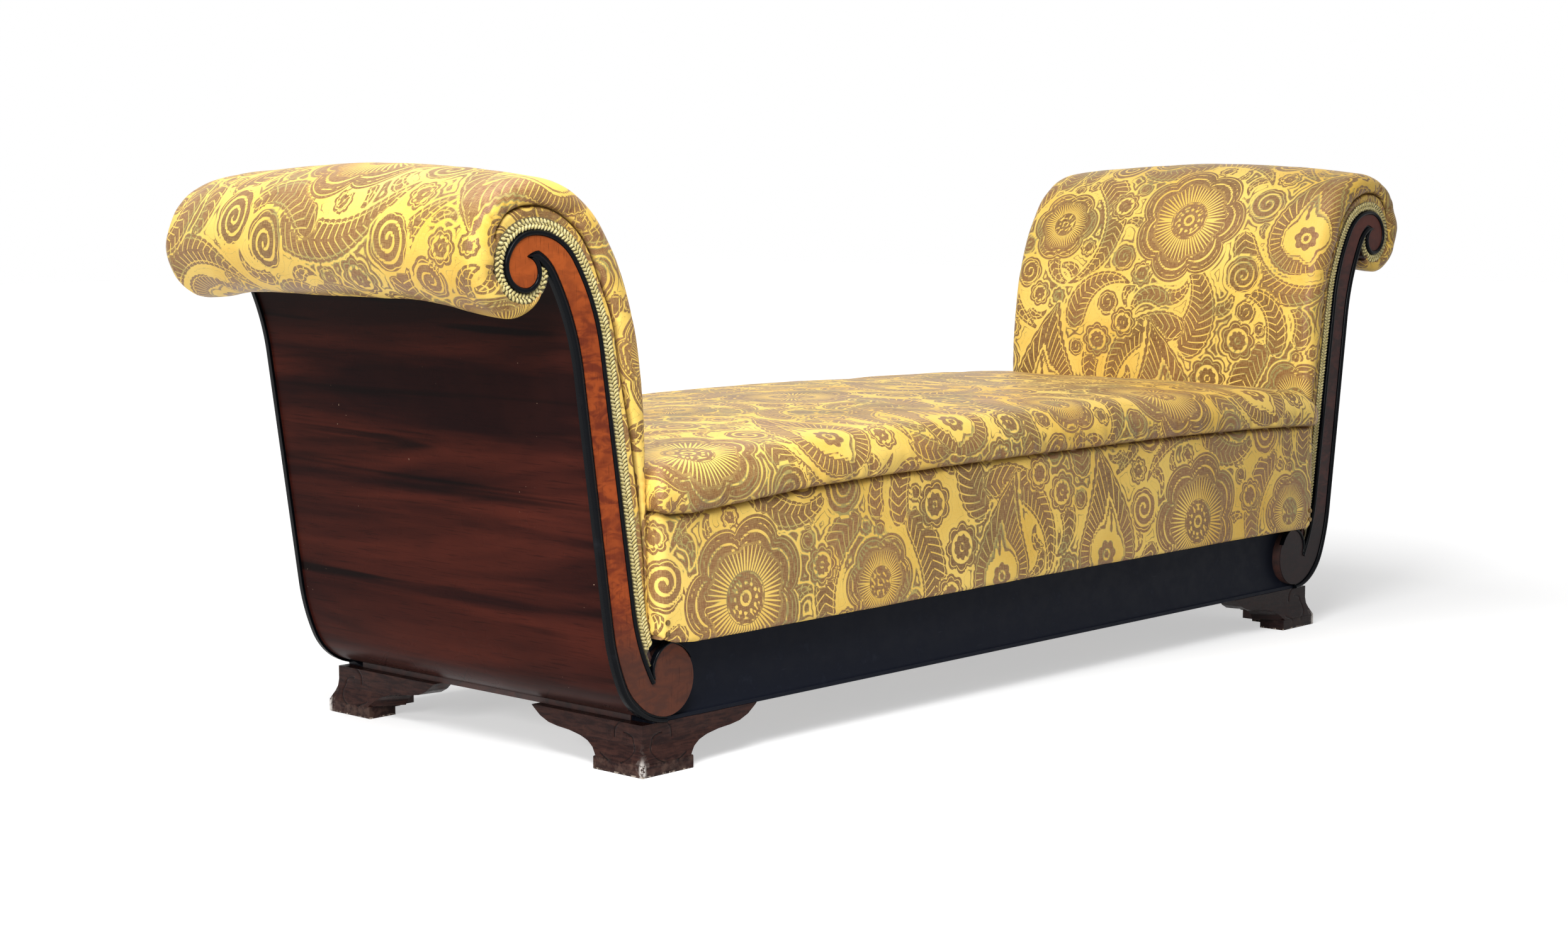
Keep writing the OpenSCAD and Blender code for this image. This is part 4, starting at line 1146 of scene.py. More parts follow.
def seat_webs(places, crossed, half, steps, lengthwise):
    """Flat webs at these places, each going over and under the ones that it crosses."""
    s = np.linspace(-half, half, steps)
    near = np.abs(s[:, None] - crossed).argmin(1)
    lift = np.cos(np.clip((s - crossed[near]) / (WEB_W * 0.55), -1, 1) * math.pi / 2) ** 0.5
    sign = 1 if lengthwise else -1
    webs = []
    for k, place in enumerate(places):
        z = WEB_Z + sign * np.where((near + k) % 2, 0.95, -0.95) * MM * lift
        plan = [s, 0 * s + place] if lengthwise else [0 * s + place, s]
        webs.append(band(np.stack([*plan, z], -1), (0, 1, 0) if lengthwise else (1, 0, 0), WEB_W))
    return webs


def spring(low, high, turns=6.5, wire=1.5 * MM):
    """A waisted coil of wire between two heights, with flat end turns."""
    t = np.linspace(0, 1, 150)
    turn = np.clip((t - 0.02) / 0.96, 0, 1) * 2 * math.pi * turns
    rise = smooth_step(t, 0, 0.12) * 0.04 + np.clip((t - 0.1) / 0.8, 0, 1) * 0.92 + smooth_step(t, 0.88, 1) * 0.04
    radius = (20.5 + 12 * np.abs(2 * t - 1) ** 1.4) * MM
    z = low + 1.6 * MM + (high - low - 3.2 * MM) * rise
    path = np.stack([radius * np.cos(turn), radius * np.sin(turn), z], -1)
    return tube(path, np.stack([np.cos(turn), np.sin(turn), 0 * t], -1), wire, wire, 8)


def grid_over(node):
    """Places x and y over a node, and the node's lowest and highest corners."""
    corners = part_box(node)
    xs, ys = np.linspace(corners[0][0], corners[1][0], 120), np.linspace(corners[0][1], corners[1][1], 60)
    return *np.meshgrid(xs, ys, indexing="ij"), *corners


def seat_inside():
    """Webbing, springs, edge roll, hessian and stuffing of the seat."""
    long_y, short_x = centres(WELL_Y, LONG_WEBS), centres(WELL_X, SHORT_WEBS)
    webs = seat_webs(long_y, short_x, WELL_X, 161, True) + seat_webs(short_x, long_y, WELL_Y, 81, False)
    make("seat_web", joined(webs), JUTE, "seat", "seat_webbing")

    coil = spring(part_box("seat_springs")[0][2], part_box("seat_springs")[1][2])
    # Three bays along the seat, each with three by three springs
    bay, rows = 2 * WELL_X / 3, 2 * WELL_Y / 3
    pitch = (bay - 40 * MM) / 3
    coils = [(coil[0] + [(i - 1) * bay + (k - 1) * pitch, (j - 1) * rows, 0], coil[1])
             for i in range(3) for k in range(3) for j in range(3)]
    make("seat_coils", joined(coils), STEEL, "seat", "seat_springs", sharp=None)

    (x0, y0, low), (_, _, high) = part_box("seat_edge_roll")
    half = np.array([-x0, -y0]) - 18 * MM
    turn = np.radians(np.concatenate([np.linspace(k, k + 90, 9) for k in (0, 90, 180, 270)]))
    way = np.stack([np.cos(turn), np.sin(turn), 0 * turn], -1)
    corner = np.repeat([[1, 1], [-1, 1], [-1, -1], [1, -1]], 9, 0)
    path = np.concatenate([corner * (half - 14 * MM) + way[:, :2] * 14 * MM, np.full((36, 1), (low + high) / 2)], 1)
    roll = tube(path, way, 17.5 * MM, (high - low) / 2, 20, ring=True)
    cushion("seat_hair_roll", roll, HAIR, "seat", "seat_edge_roll")

    gx, gy, (x0, y0, low), (x1, y1, high) = grid_over("seat_hessian")
    gz = (low + high) / 2 + 0.2 * MM * wobble(gx + 2, gy + 2, 60 * MM, 71)
    canvas = slab(*(np.stack([gx, gy, gz + k * 0.5 * MM], -1) for k in (1, -1)))
    obj = make("seat_canvas", canvas, JUTE, "seat", "seat_hessian", sharp=60)

    gx, gy, (x0, y0, low), (x1, y1, high) = grid_over("seat_stuffing")
    edge = np.minimum(x1 - np.abs(gx), y1 - np.abs(gy)) / (60 * MM)
    crown = np.sqrt(1 - (1 - np.clip(edge, 0, 1)) ** 2)
    gz = low + 6 * MM + (high - low - 6 * MM) * crown - 1.5 * MM * np.abs(wobble(gx + 2, gy + 2, 50 * MM, 72)) * crown
    hair = slab(np.stack([gx, gy, gz], -1), np.stack([gx, gy, 0 * gz + low], -1))
    cushion("seat_hair", hair, HAIR, "seat", "seat_stuffing")


def arm_inside():
    """Webbing, hessian and stuffing of the end pads."""
    ys = np.linspace(-BOARD_Y, BOARD_Y, 60)
    webs = []
    for pos in 1 + np.linspace(0.069, 0.931, 4):
        (x, z), = INNER.beside(np.array([pos]), 17 * MM)
        h = INNER.frame(pos)[2]
        webs.append(band([(x, y, z) for y in ys], (math.cos(h), 0, math.sin(h)), WEB_W))
    line = INNER.beside(np.linspace(1, 2, 40), 19 * MM)
    for y in centres(BOARD_BACK_Y, 5):
        webs.append(band(at_y(line, y), (0, 1, 0), WEB_W))
    webs = joined(webs)

    pos = INNER.spaced(0.5, 5.3, 8 * MM)
    canvas = slab(*(at_y(INNER.beside(pos, deep)[:, None], ys) for deep in (20.2 * MM, 21.2 * MM)))
    middle = INNER.beside(pos, 20.7 * MM)

    pos, y = np.linspace(0.75, 4.5, 90)[:, None], np.linspace(-1, 1, 60)[None, :]
    outer, inner = PAD.beside(pos, -28 * MM), INNER.beside(np.minimum(lookup(pos, FACING), 5.1), 24 * MM)
    deep = np.clip((1 - np.abs(y)) * BOARD_BACK_Y / (34 * MM), 0.04, 1) * np.clip((4.5 - pos) / 0.5, 0.1, 1)
    deep = np.sqrt(1 - (1 - deep * np.clip((pos - 0.75) / 0.3, 0.1, 1)) ** 2)[:, :, None] / 2
    y = y * BOARD_BACK_Y + 0 * pos
    middle, reach = (outer + inner) / 2, (outer - inner) * deep
    hair = slab(at_y(middle + reach, y), at_y(middle - reach, y))
    for end_name, end in ENDS.items():
        make(f"{end_name}_arm_web", webs, JUTE, "frame", f"{end_name}_arm_webbing", (end, 1))
        obj = make(f"{end_name}_arm_canvas", canvas, JUTE, "frame", "arm_hessians", (end, 1), sharp=60)
        cushion(f"{end_name}_arm_hair", hair, HAIR, "frame", f"{end_name}_arm_stuffing", (end, 1))


# Upholstered ends

CLOTH_STEP = 4.1 * MM
EDGE_POINTS = 44  # across the edge of a pad, from the trimming to the face
SEAM_POINT = 18  # the one of them near the seam
SEAM_WITHIN = 26  # the seam is one of so many


def seam_inset(pos, gap):
    """How far the edge roll's seam lies below the surface of a pad."""
    return gap - (lookup(pos, SEAM_PLACES) - 8) * MM


def pad_frame(pos):
    """Points on the pad's surface, the directions down to its base line, and the distances."""
    surface = PAD.beside(pos, 0)
    base = INNER.beside(lookup(pos, FACING), 8 * MM)
    gap = np.linalg.norm(surface - base, axis=1)
    return surface, (surface - base) / gap[:, None], gap


def pad_section(pos):
    """The section from the trimming round to the face of the pad: points (x, y, z), one row for each position."""
    surface, out, gap = pad_frame(pos)
    w = np.maximum(seam_inset(pos, gap), 0.3 * MM)
    # Points as (depth under the face, height over the board in millimetres): with an edge roll over the seam
    f = np.clip(w / (30 * MM), 0.12, 1)
    rolled = [
        (gap, -0.8), (0.5 * (gap + w), -1.2), (w + 1.4 * MM, -3.5), (w - 0.6 * MM, -5.5 * f),
        (w - 0.8 * MM * f, 1.0 * f), (0.84 * w, 6.6 * f), (0.60 * w, 8.2 * f), (0.33 * w, 5.6 * f),
        (0.11 * w, -1.8 * f), (0.01 * w, -13 * f), (0 * w, -30 * f),
    ]
    # and plainly rounded, where the pad turns under the curl
    soft = np.clip(gap / (45 * MM), 0.4, 1)
    plain = [
        (gap, 0.0), (gap - 6 * MM * soft, 0.9), (0.78 * gap, 5.0 * soft), (0.62 * gap, 9 * soft),
        (0.42 * gap, 10 * soft), (0.24 * gap, 8.2 * soft), (0.10 * gap, 3.4 * soft), (0.01 * gap, -4 * soft),
        (-0.025 * gap, -11 * soft), (-0.01 * gap, -20.0), (0 * gap, -33.0),
    ]
    kind = 1 - smooth_step(pos, SEAM_END - 0.2, SEAM_END + 0.08)
    rows = []
    for (ia, ya), (ib, yb) in zip(rolled, plain):
        p = surface - out * (ia * kind + ib * (1 - kind))[:, None]
        rows.append(at_y(p, BOARD_Y + 0.4 * MM + (ya * kind + yb * (1 - kind)) * MM))
    return np.stack(rows, 1), kind


def pad_crown(pos, y):
    """How far a pad swells over its profile at these positions and places across."""
    under = smooth_step(pos, 4.5, 5.2)
    top = np.clip(1 - (y / BOARD_Y) ** 2, 0, 1)
    low = 1 - smooth_step(np.abs(y), 150 * MM, 320 * MM)
    crown = PAD_CROWN * lookup(pos, CROWN_SHARES) * (top * (1 - under) + low * under)
    return crown - 8 * MM * under * smooth_step(y, 60 * MM, 300 * MM) * (1 - smooth_step(pos, 5.6, 6.0))


def pad_folds(pos, run, far, kind):
    """Pleats at the edge of a pad: how far they push the cover out, in millimetres, and how much painted shade their
    creases get.

    far is the distance of each point from the trimming.
    """
    run = run[:, None]
    turn = smooth_step(run, PAD.length(4.25), PAD.length(4.45))
    # Pleats run out from the trimming where the cover turns the curl
    fold = wobble(run + 0.3, 0 * far, 8 * MM, 41) * 2.0 * bell(far, 19 * MM)
    fold = fold + wobble(run + 0.3, far * 0.25, 17 * MM, 42) * 2.3 * bell(far, 46 * MM)
    gather = 1 - np.abs((run - PAD.length(4.4)) / (26 * MM) - far * 4.0)
    fold = fold - 2.6 * np.clip(gather, 0, 1) ** 2 * bell(far, 40 * MM)
    # Small puckers beside the seam
    from_seam = far - far[:, SEAM_POINT:SEAM_POINT + 1]
    pinch = wobble(run + 0.7 + from_seam * 0.35, 0 * far, 17 * MM, 43)
    tuck = (0.6 * pinch - 2.2 * bell(pinch, 0.16)) * (1 - turn)
    tuck = tuck * bell(from_seam, 17 * MM) * smooth_step(from_seam, -2 * MM, 4 * MM)
    # Wider slanting pleats over the roll
    pinch = wobble(run + 1.9 + from_seam * 0.6, 0 * far, 34 * MM, 44)
    wide = bell(from_seam, 38 * MM) * smooth_step(from_seam, -2 * MM, 6 * MM) * kind[:, None]
    wide = wide * lookup(pos, PLEATS)[:, None]
    tuck = tuck + (4.4 * np.sqrt(np.abs(pinch)) - 2.8) * wide
    # Painted shade in the creases of the folds and pleats, for the cloth's colour
    shade = np.maximum(np.clip(-fold * turn / 3.5, 0, 0.55), 0.85 * bell(pinch, 0.1) * wide)
    return fold * turn + tuck, shade


def arm_cover_mesh():
    """The cover of an end pad: (verts, faces), places on the cloth and the painted shade in its creases."""
    pos = PAD.spaced(0.0, 6.0, CLOTH_STEP)
    run = PAD.length(pos)
    controls, kind = pad_section(pos)
    edge = curve_through(controls, EDGE_POINTS)
    far = np.linalg.norm(edge - edge[:, :1], axis=2)
    push, shade = pad_folds(pos, run, far, kind)
    edge[:, :, 1] += push * MM
    seam = np.argmin(edge[:, :SEAM_WITHIN, 1], axis=1)
    # Painted shade along the seam of the edge roll
    crease_shade = bell(far - far[np.arange(len(pos)), seam][:, None], 2.4 * MM) * kind[:, None]
    crease_shade = np.maximum(crease_shade, shade)
    # Rows run from the front edge over the face of the pad to the back edge
    last_y = edge[:, -1, 1]
    inner_n = 2 * int(last_y[0] / CLOTH_STEP)
    ys = last_y[:, None] * np.linspace(1, -1, inner_n)[None, 1:-1]
    mid = at_y(edge[:, -1:, [0, 2]], ys)
    rows = np.concatenate([edge, mid, edge[:, ::-1] * [1, -1, 1]], 1)
    step = np.linalg.norm(np.diff(rows, axis=1), axis=2)
    across = np.concatenate([np.zeros((len(pos), 1)), np.cumsum(step, 1)], 1)
    across -= across[:, -1:] / 2
    s = np.repeat(run[:, None], rows.shape[1], 1)
    y = rows[:, :, 1]
    inland = BOARD_Y - np.abs(y)
    lumps = 1.3 * MM * wobble(s, across, 95 * MM, 5) + 0.5 * MM * wobble(s + 2, across, 34 * MM, 6)
    pull = wobble(s * 0.35 + across * 0.9 + 4, s * 0.1, 26 * MM, 7) * 0.8 * MM * bell(inland, 90 * MM)
    lumps = (lumps + pull) * smooth_step(inland, 0, 50 * MM) * smooth_step(pos, 1.2, 2.0)[:, None]
    rise = pad_crown(pos[:, None], y) + lumps
    normal = PAD.normal(pos)
    rows[:, :, 0] += normal[:, None, 0] * rise
    rows[:, :, 2] += normal[:, None, 1] * rise
    # Back to the start along the frame
    closing = []
    for share in (-1, -0.7, -0.35, 0, 0.35, 0.7, 1):
        yy = share * (BOARD_Y - 4 * MM)
        deep = 8 * MM + np.minimum(0, pad_crown(pos, yy + 0 * pos)) - 1.5 * MM * (1 - abs(share))
        base = INNER.beside(lookup(pos, FACING), 0) + INNER.normal(lookup(pos, FACING)) * deep[:, None]
        closing.append(at_y(base, yy))
    rings = np.concatenate([rows, np.stack(closing, 1)], 1)
    uv = np.stack([across, s], -1)
    uv = np.concatenate([uv] + [uv[:, -1:]] * len(closing), 1)
    crease_shade = np.concatenate([crease_shade, 0 * mid[:, :, 0], crease_shade[:, ::-1], np.zeros((len(pos), len(closing)))], 1)
    return solid(rings), uv, crease_shade


def arm_covers():
    part, uv, crease_shade = arm_cover_mesh()
    for end_name, end in ENDS.items():
        shift = np.array([0.10, 0.06 if end < 0 else 0.22])
        old = f"{end_name}_arm_cover"
        cushion(f"{end_name}_arm_pad", part, DAMASK, "frame", old, (end, 1), uv + shift, crease_shade=crease_shade)


def pad_borders():
    """The strips between the trimming and the edge roll, drawn to a point where the roll turns the curl."""
    pos = PAD.spaced(0.02, SEAM_END, 3.2 * MM)
    run = PAD.length(pos)
    surface, out, gap = pad_frame(pos)
    w = np.maximum(seam_inset(pos, gap), 0.3 * MM)
    # Share of the way from the base line to the seam, and height over the board in millimetres
    section = [
        (0.0, -0.3), (0.0, 0.5), (0.2, 0.7), (0.4, 0.9), (0.55, 1.4), (0.68, 2.1), (0.79, 2.2), (0.88, 1.0),
        (0.95, -1.4), (1.0, -4.4), (1.0, -5.2),
    ]
    sharp = np.clip((gap - w) / (14 * MM), 0.1, 1)
    rings, uv = [], []
    for share, high in section:
        inset = gap + (w + 0.3 * MM - gap) * share
        ruck = wobble(run + 1.1, 0 * run + share * 4 * MM, 9 * MM, 51) * 0.8 * smooth_step(pos, 2.2, 3.8)
        ruck = ruck + wobble(run + 2.2, 0 * run, 30 * MM, 52) * 0.4
        inside = 0.1 < share < 0.97
        y = BOARD_Y + (0.4 + (high + ruck * inside) * sharp) * MM
        rings.append(at_y(surface - out * inset[:, None], y))
        uv.append(np.stack([run, (gap - w) * share], -1))
    strip, uv = solid(np.stack(rings, 1)), np.stack(uv, 1)
    # Painted shade in the strip's crease at the seam
    crease_shade = np.tile([smooth_step(share, 0.86, 0.99) for share, _ in section], len(pos))
    for where, end, side in CORNERS:
        shift = np.array([0.9 * (side > 0), 0.35 + 0.21 * (end > 0)])
        cushion(f"{where}_strip", strip, DAMASK, "frame", f"{where}_border", (end, side), uv + shift, crease_shade)


def lump(centre, along, across, up, sizes):
    """A small smooth bump as (verts, faces)."""
    rings = []
    for a in (-78, -40, 0, 40, 78):
        c, h = math.cos(math.radians(a)), math.sin(math.radians(a))
        ring = []
        for b in range(0, 360, 60):
            cb, sb = math.cos(math.radians(b)), math.sin(math.radians(b))
            ring.append(centre + across * (h * sizes[0]) + along * (c * cb * sizes[1]) + up * (c * sb * sizes[2]))
        rings.append(ring)
    return solid(np.array(rings))


def gimps():
    """Woven trimming: two rows of slanted stitches with a cord between them, on a base whose dark olive colour is
    painted shade between the stitches.
    """
    pos = INNER.spaced(0.2, 6.68, 2.7 * MM)
    across, heading = INNER.normal(pos), INNER.frame(pos)[2]
    path = INNER.beside(pos, lookup(pos, GIMP_OFFSETS) * MM)
    wide = lookup(pos, GIMP_WIDTHS) * MM
    rng = np.random.default_rng(8)
    up = np.array([0, 1.0, 0])
    floor_y = BORDER_Y + 0.3 * MM
    clear = DISC_R + DISC_BEAD_W

    def from_disc(p):
        return np.hypot(p[0] - DISC[0], p[-1] - DISC[1])

    stitches = []
    for i, (p, n2, h) in enumerate(zip(path, across, heading)):
        n = np.array([n2[0], 0, n2[1]])
        t = np.array([math.cos(h), 0, math.sin(h)])
        for row, share in enumerate((0.27, 0.74)):
            lean = math.radians(30 + 7 * rng.uniform(-1, 1)) * (1 if row else -1)
            ax, al = n * math.cos(lean) + t * math.sin(lean), t * math.cos(lean) - n * math.sin(lean)
            centre = np.array([p[0], floor_y + 0.9 * MM, p[1]])
            centre = centre + n * (wide[i] * share + 0.35 * MM * rng.uniform(-1, 1))
            size = np.array([wide[i] * 0.27, 2.35 * MM, 2.4 * MM]) * rng.uniform(0.92, 1.08, 3)
            if i % 2 == row and from_disc(centre) > clear + 3 * MM:
                stitches.append(lump(centre, al, ax, up, size))
        centre = np.array([p[0], floor_y + 1.5 * MM, p[1]]) + n * wide[i] * 0.505
        if i % 2 == 0 and from_disc(centre) > clear + 2 * MM:
            stitches.append(lump(centre, t, n, up, (1.3 * MM, 1.2 * MM, 1.2 * MM)))

    keep = from_disc((path + across * 8 * MM).T)
    wide = np.clip((keep - clear) * 1.3 + 6 * MM, 3 * MM, wide)
    wave = 0.35 * MM * np.cos(np.arange(len(pos)) * math.pi)
    rings = []
    for share, high in [(0.02, -0.6), (0.02, 0.9), (0.06, 1.5), (0.5, 1.3), (0.94, 1.5), (1.0, 0.9), (1.0, -0.6)]:
        q = path + across * (wide * share + (wave if share > 0.9 else 0 * wave))[:, None]
        rings.append(at_y(q, BORDER_Y + high * MM))
    pieces = {"stitches": (joined(stitches), GIMP), "base": (solid(np.stack(rings, 1)), GIMP_SHADE_BASE)}
    for where, end, side in CORNERS:
        for name, (part, material) in pieces.items():
            make(f"{where}_gimp_{name}", part, material, "frame", f"{where}_gimp", (end, side), sharp=None)


# Seat


FAN = 18  # steps round a corner of the seat
ROLL_POINTS = 30  # from the flat core out over the roll to the seam
ROLL_H = 64  # about the roll's height, in millimetres
# Profile of the roll: (share of the reach, share of the bulge, share of the height over the seam)
ROLL = [
    (0.0, 0, 1.0), (0.25, 0, 0.985), (0.48, 0, 0.95), (0.68, 0.02, 0.89), (0.84, 0.14, 0.78), (0.95, 0.50, 0.62),
    (1.0, 0.9, 0.46), (1.0, 1.15, 0.31), (1.0, 1.12, 0.16), (1.0, 0.82, 0.05), (1.0, 0.1, -0.005),
    (0.93, -0.45, -0.005),
]


def seat_height(x, y):
    """Height of the seat's top at these places."""
    bow = lookup(x / MM, SEAM_BOW) * MM
    long = 20 * MM * (1 - (np.abs(x) / SEAT_HALF_X) ** 2.4)
    edge = np.minimum(SEAT_HALF_X - np.abs(x), SEAT_HALF_Y - np.abs(y)) / SEAT_HALF_Y
    z = SEAM_Z + 63 * MM + 0.15 * bow + 0.9 * long + 15 * MM * (1 - np.clip(1 - edge * 1.1, 0, 1) ** 2.0)
    rest = smooth_step(SEAT_HALF_X - np.abs(x), 20 * MM, 130 * MM)
    z = z + rest * 2.2 * MM * wobble(x + 3, y + 3, 150 * MM, 11)
    return z + 0.7 * MM * wobble(x + 3, y + 3, 45 * MM, 12)


def walk_round(nx, ny):
    """Indices of the points round an nx by ny grid and the outward direction at each, with a fan at each corner."""

    def fan(i, j, start):
        turns = [math.radians(start + 90 * k / FAN) for k in range(1, FAN)]
        return [((i, j), (math.cos(a), math.sin(a))) for a in turns]

    steps = [((nx - 1, j), (1, 0)) for j in range(ny)] + fan(nx - 1, ny - 1, 0)
    steps += [((i, ny - 1), (0, 1)) for i in range(nx - 1, -1, -1)] + fan(0, ny - 1, 90)
    steps += [((0, j), (-1, 0)) for j in range(ny - 1, -1, -1)] + fan(0, 0, 180)
    steps += [((i, 0), (0, -1)) for i in range(nx)] + fan(nx - 1, 0, 270)
    return np.array([i * ny + j for (i, j), _ in steps]), np.array([d for _, d in steps], float)


def rim_reach(direction, size):
    """How far the rim with its round corners lies from the core in each direction. size is that along x and y."""
    toward = np.abs(direction)
    reach = np.min(size / np.maximum(toward, 1e-9), axis=1)
    round_at = np.all(toward * reach[:, None] > size - SEAT_CORNER, axis=1)
    inward = toward @ (size - SEAT_CORNER)
    far = np.maximum(inward**2 - np.sum((size - SEAT_CORNER) ** 2) + SEAT_CORNER**2, 0)
    return np.where(round_at, inward + np.sqrt(far), reach)


def seat_cover():
    """The padded top with its rolled edge, as a sheet over a flat core with a roll round it."""
    cx, cy = SEAT_HALF_X - 48 * MM, SEAT_HALF_Y - 50 * MM
    nx, ny = int(2 * cx / CLOTH_STEP) + 1, int(2 * cy / CLOTH_STEP) + 1
    gx, gy = np.meshgrid(np.linspace(-cx, cx, nx), np.linspace(-cy, cy, ny), indexing="ij")
    index, direction = walk_round(nx, ny)
    n = len(index)
    base = np.stack([gx.ravel()[index], gy.ravel()[index]], -1)
    reach = rim_reach(direction, np.array([SEAT_HALF_X - cx, SEAT_HALF_Y - cy]))
    rim = base + direction * reach[:, None]
    along = np.concatenate([[0], np.cumsum(np.linalg.norm(np.diff(rim, axis=0), axis=1))]) + 5
    z0 = seat_height(base[:, 0], base[:, 1])
    seam = SEAM_Z + lookup(rim[:, 0] / MM, SEAM_BOW) * MM
    # Long sides bulge and pucker more than the ends
    side_way = 0.25 + 0.75 * smooth_step(np.abs(direction[:, 1]), 0.3, 0.8)
    fold = wobble(along, 0 * along, 11 * MM, 21) + 0.7 * wobble(along, 0 * along, 27 * MM, 22)
    rings, ring_uv, crease_shades = [], [], []
    last = np.stack([base[:, 0], base[:, 1], z0], -1)
    spent = np.zeros(n)
    for r, b, h in curve_through(np.array([ROLL]), ROLL_POINTS)[0, 1:]:
        near = bell(h * ROLL_H, 24)
        slow = wobble(along, 0 * along + h * 20 * MM, 90 * MM, 23) * 1.5 * MM * bell(h - 0.45, 0.3)
        out = reach * r + (SEAT_BULGE + 0.5 * MM) * b * side_way + fold * 2.1 * MM * near * side_way + slow * side_way
        p = np.concatenate([base + direction * out[:, None], (seam + (z0 - seam) * h)[:, None]], 1)
        spent = spent + np.linalg.norm(p - last, axis=1)
        last = p
        rings.append(p)
        ring_uv.append(base + direction * spent[:, None])
        # Painted shade at the seam and in the puckers
        crease_shades.append(np.maximum(bell(h * ROLL_H, 4), 0.4 * np.clip(-fold, 0, 1) * near * side_way))
    core = np.stack([gx, gy, seat_height(gx, gy)], -1).reshape(-1, 3)
    verts = np.concatenate([core, *rings])
    uv = np.concatenate([core[:, :2], *ring_uv])
    faces = grid_faces(nx, ny).tolist()
    first = len(core)
    for k in range(n):
        m = (k + 1) % n
        a, b = index[k], index[m]
        faces.append([a, first + m, first + k] if a == b else [a, b, first + m, first + k])
    faces += grid_faces(ROLL_POINTS - 1, n, wrap=True, start=first).tolist()
    faces.append(list(range(first + (ROLL_POINTS - 2) * n, first + (ROLL_POINTS - 1) * n)))
    uv, crease_shade = uv + np.array([0.31, 0.12]), np.concatenate([np.zeros(len(core)), *crease_shades])
    part = verts, outward(verts, faces)
    cushion("seat_pad", part, DAMASK, "seat", "seat_cover", uv=uv, crease_shade=crease_shade)


BORDER_H = 180  # about a border's height, in millimetres


def and_back(grid):
    """A grid of values, and the same once more from its last column back, as a slab's two sides need."""
    return np.concatenate([grid, grid[:, ::-1]], 1)


def front_borders():
    """The flat borders under the seam, front and back. They hang a little over the rails and turn the corners."""
    # Plan of a border and its outward directions, from one end's tail round both corners to the other's
    turn = np.radians(np.linspace(0, 90, 10))
    x0, y0 = SEAT_HALF_X - SEAT_CORNER, SEAT_HALF_Y - SEAT_CORNER
    run = np.linspace(1, -1, 400)[1:-1]
    corner = np.stack([x0 + SEAT_CORNER * np.cos(turn), y0 + SEAT_CORNER * np.sin(turn)], -1)
    tail = np.array([[SEAT_HALF_X, y0 - t * MM] for t in (14, 9.5, 4.5)])
    plan = np.concatenate([tail, corner])
    plan = np.concatenate([plan, np.stack([run * x0, 0 * run + SEAT_HALF_Y], -1), plan[::-1] * [-1, 1]])
    way = np.concatenate([np.tile([1.0, 0], (3, 1)), np.stack([np.cos(turn), np.sin(turn)], -1)])
    way = np.concatenate([way, np.tile([0, 1.0], (len(run), 1)), way[::-1] * [-1, 1]])
    along = np.concatenate([[0], np.cumsum(np.linalg.norm(np.diff(plan, axis=0), axis=1))])

    up = np.linspace(0, 1, 48)[None, :]
    gx, gu = plan[:, :1] + 0 * up, along[:, None] + 0 * up
    low = SEAT_Z + lookup(gx / MM, HANG) * MM
    gz = low + (SEAM_Z + lookup(gx / MM, SEAM_BOW) * MM - 0.5 * MM - low) * up
    puff = 1.9 * MM * np.sin(np.pi * up) ** 0.6
    ruck = wobble(gu + 5, 0 * gu, 10 * MM, 31) * bell((1 - up) * BORDER_H, 14) * 1.2 * MM
    hem = wobble(gu + 5, 0 * gu, 38 * MM, 32) * bell(up * BORDER_H, 14) * 0.9 * MM
    slow = wobble(gu + 5, gz * 2, 120 * MM, 33) * 1.1 * MM * np.sin(np.pi * up)
    tuck = 5.2 * MM * smooth_step(up, 0.955, 1.0) + 2.6 * MM * (1 - smooth_step(up, 0.0, 0.022))
    out = puff + ruck + hem + slow - tuck - 1.2 * MM

    def skin(offset):
        return np.stack([gx + way[:, :1] * offset, plan[:, 1:] + way[:, 1:] * offset, gz], -1)

    part = slab(skin(out), skin(0 * out - 7 * MM))
    uv = and_back(np.stack([gu, gz], -1))
    # Painted shade under the seam
    crease_shade = and_back(bell((1 - up) * 178, 4.5) + 0 * gx)
    for side_name, side in SIDES.items():
        shift = np.array([0.31, 0.22 if side < 0 else 0.5])
        old = f"seat_{side_name}_border"
        cushion(f"seat_{side_name}_panel", part, DAMASK, "seat", old, (1, side), uv + shift, crease_shade=crease_shade)


def end_borders():
    """The borders at the two ends, which the end pads hide until the seat is lifted out."""
    half = SEAT_HALF_Y - SEAT_CORNER - 15 * MM
    gy, up = np.meshgrid(np.linspace(-half, half, 170), np.linspace(0, 1, 44), indexing="ij")
    gz = SEAT_Z + (SEAM_Z + 2 * MM - SEAT_Z) * up
    puff = 1.6 * MM * np.sin(np.pi * up) ** 0.6 + wobble(gy + 5, gz, 110 * MM, 61) * 0.7 * MM * np.sin(np.pi * up)
    ruck = wobble(gy + 5, 0 * gy, 12 * MM, 62) * 0.7 * MM * bell((1 - up) * 175, 12)
    gx = SEAT_HALF_X - 2.2 * MM + puff + ruck - 2 * MM * (1 - smooth_step(up, 0, 0.02))
    part = slab(np.stack([gx, gy, gz], -1), np.stack([0 * gx + SEAT_HALF_X - 6 * MM, gy, gz], -1))
    uv = and_back(np.stack([gy, gz], -1)) + np.array([0.2, 0.4])
    for end_name, end in ENDS.items():
        cushion(f"seat_{end_name}_end", part, DAMASK, "seat", "seat_end_borders", (end, 1), uv)


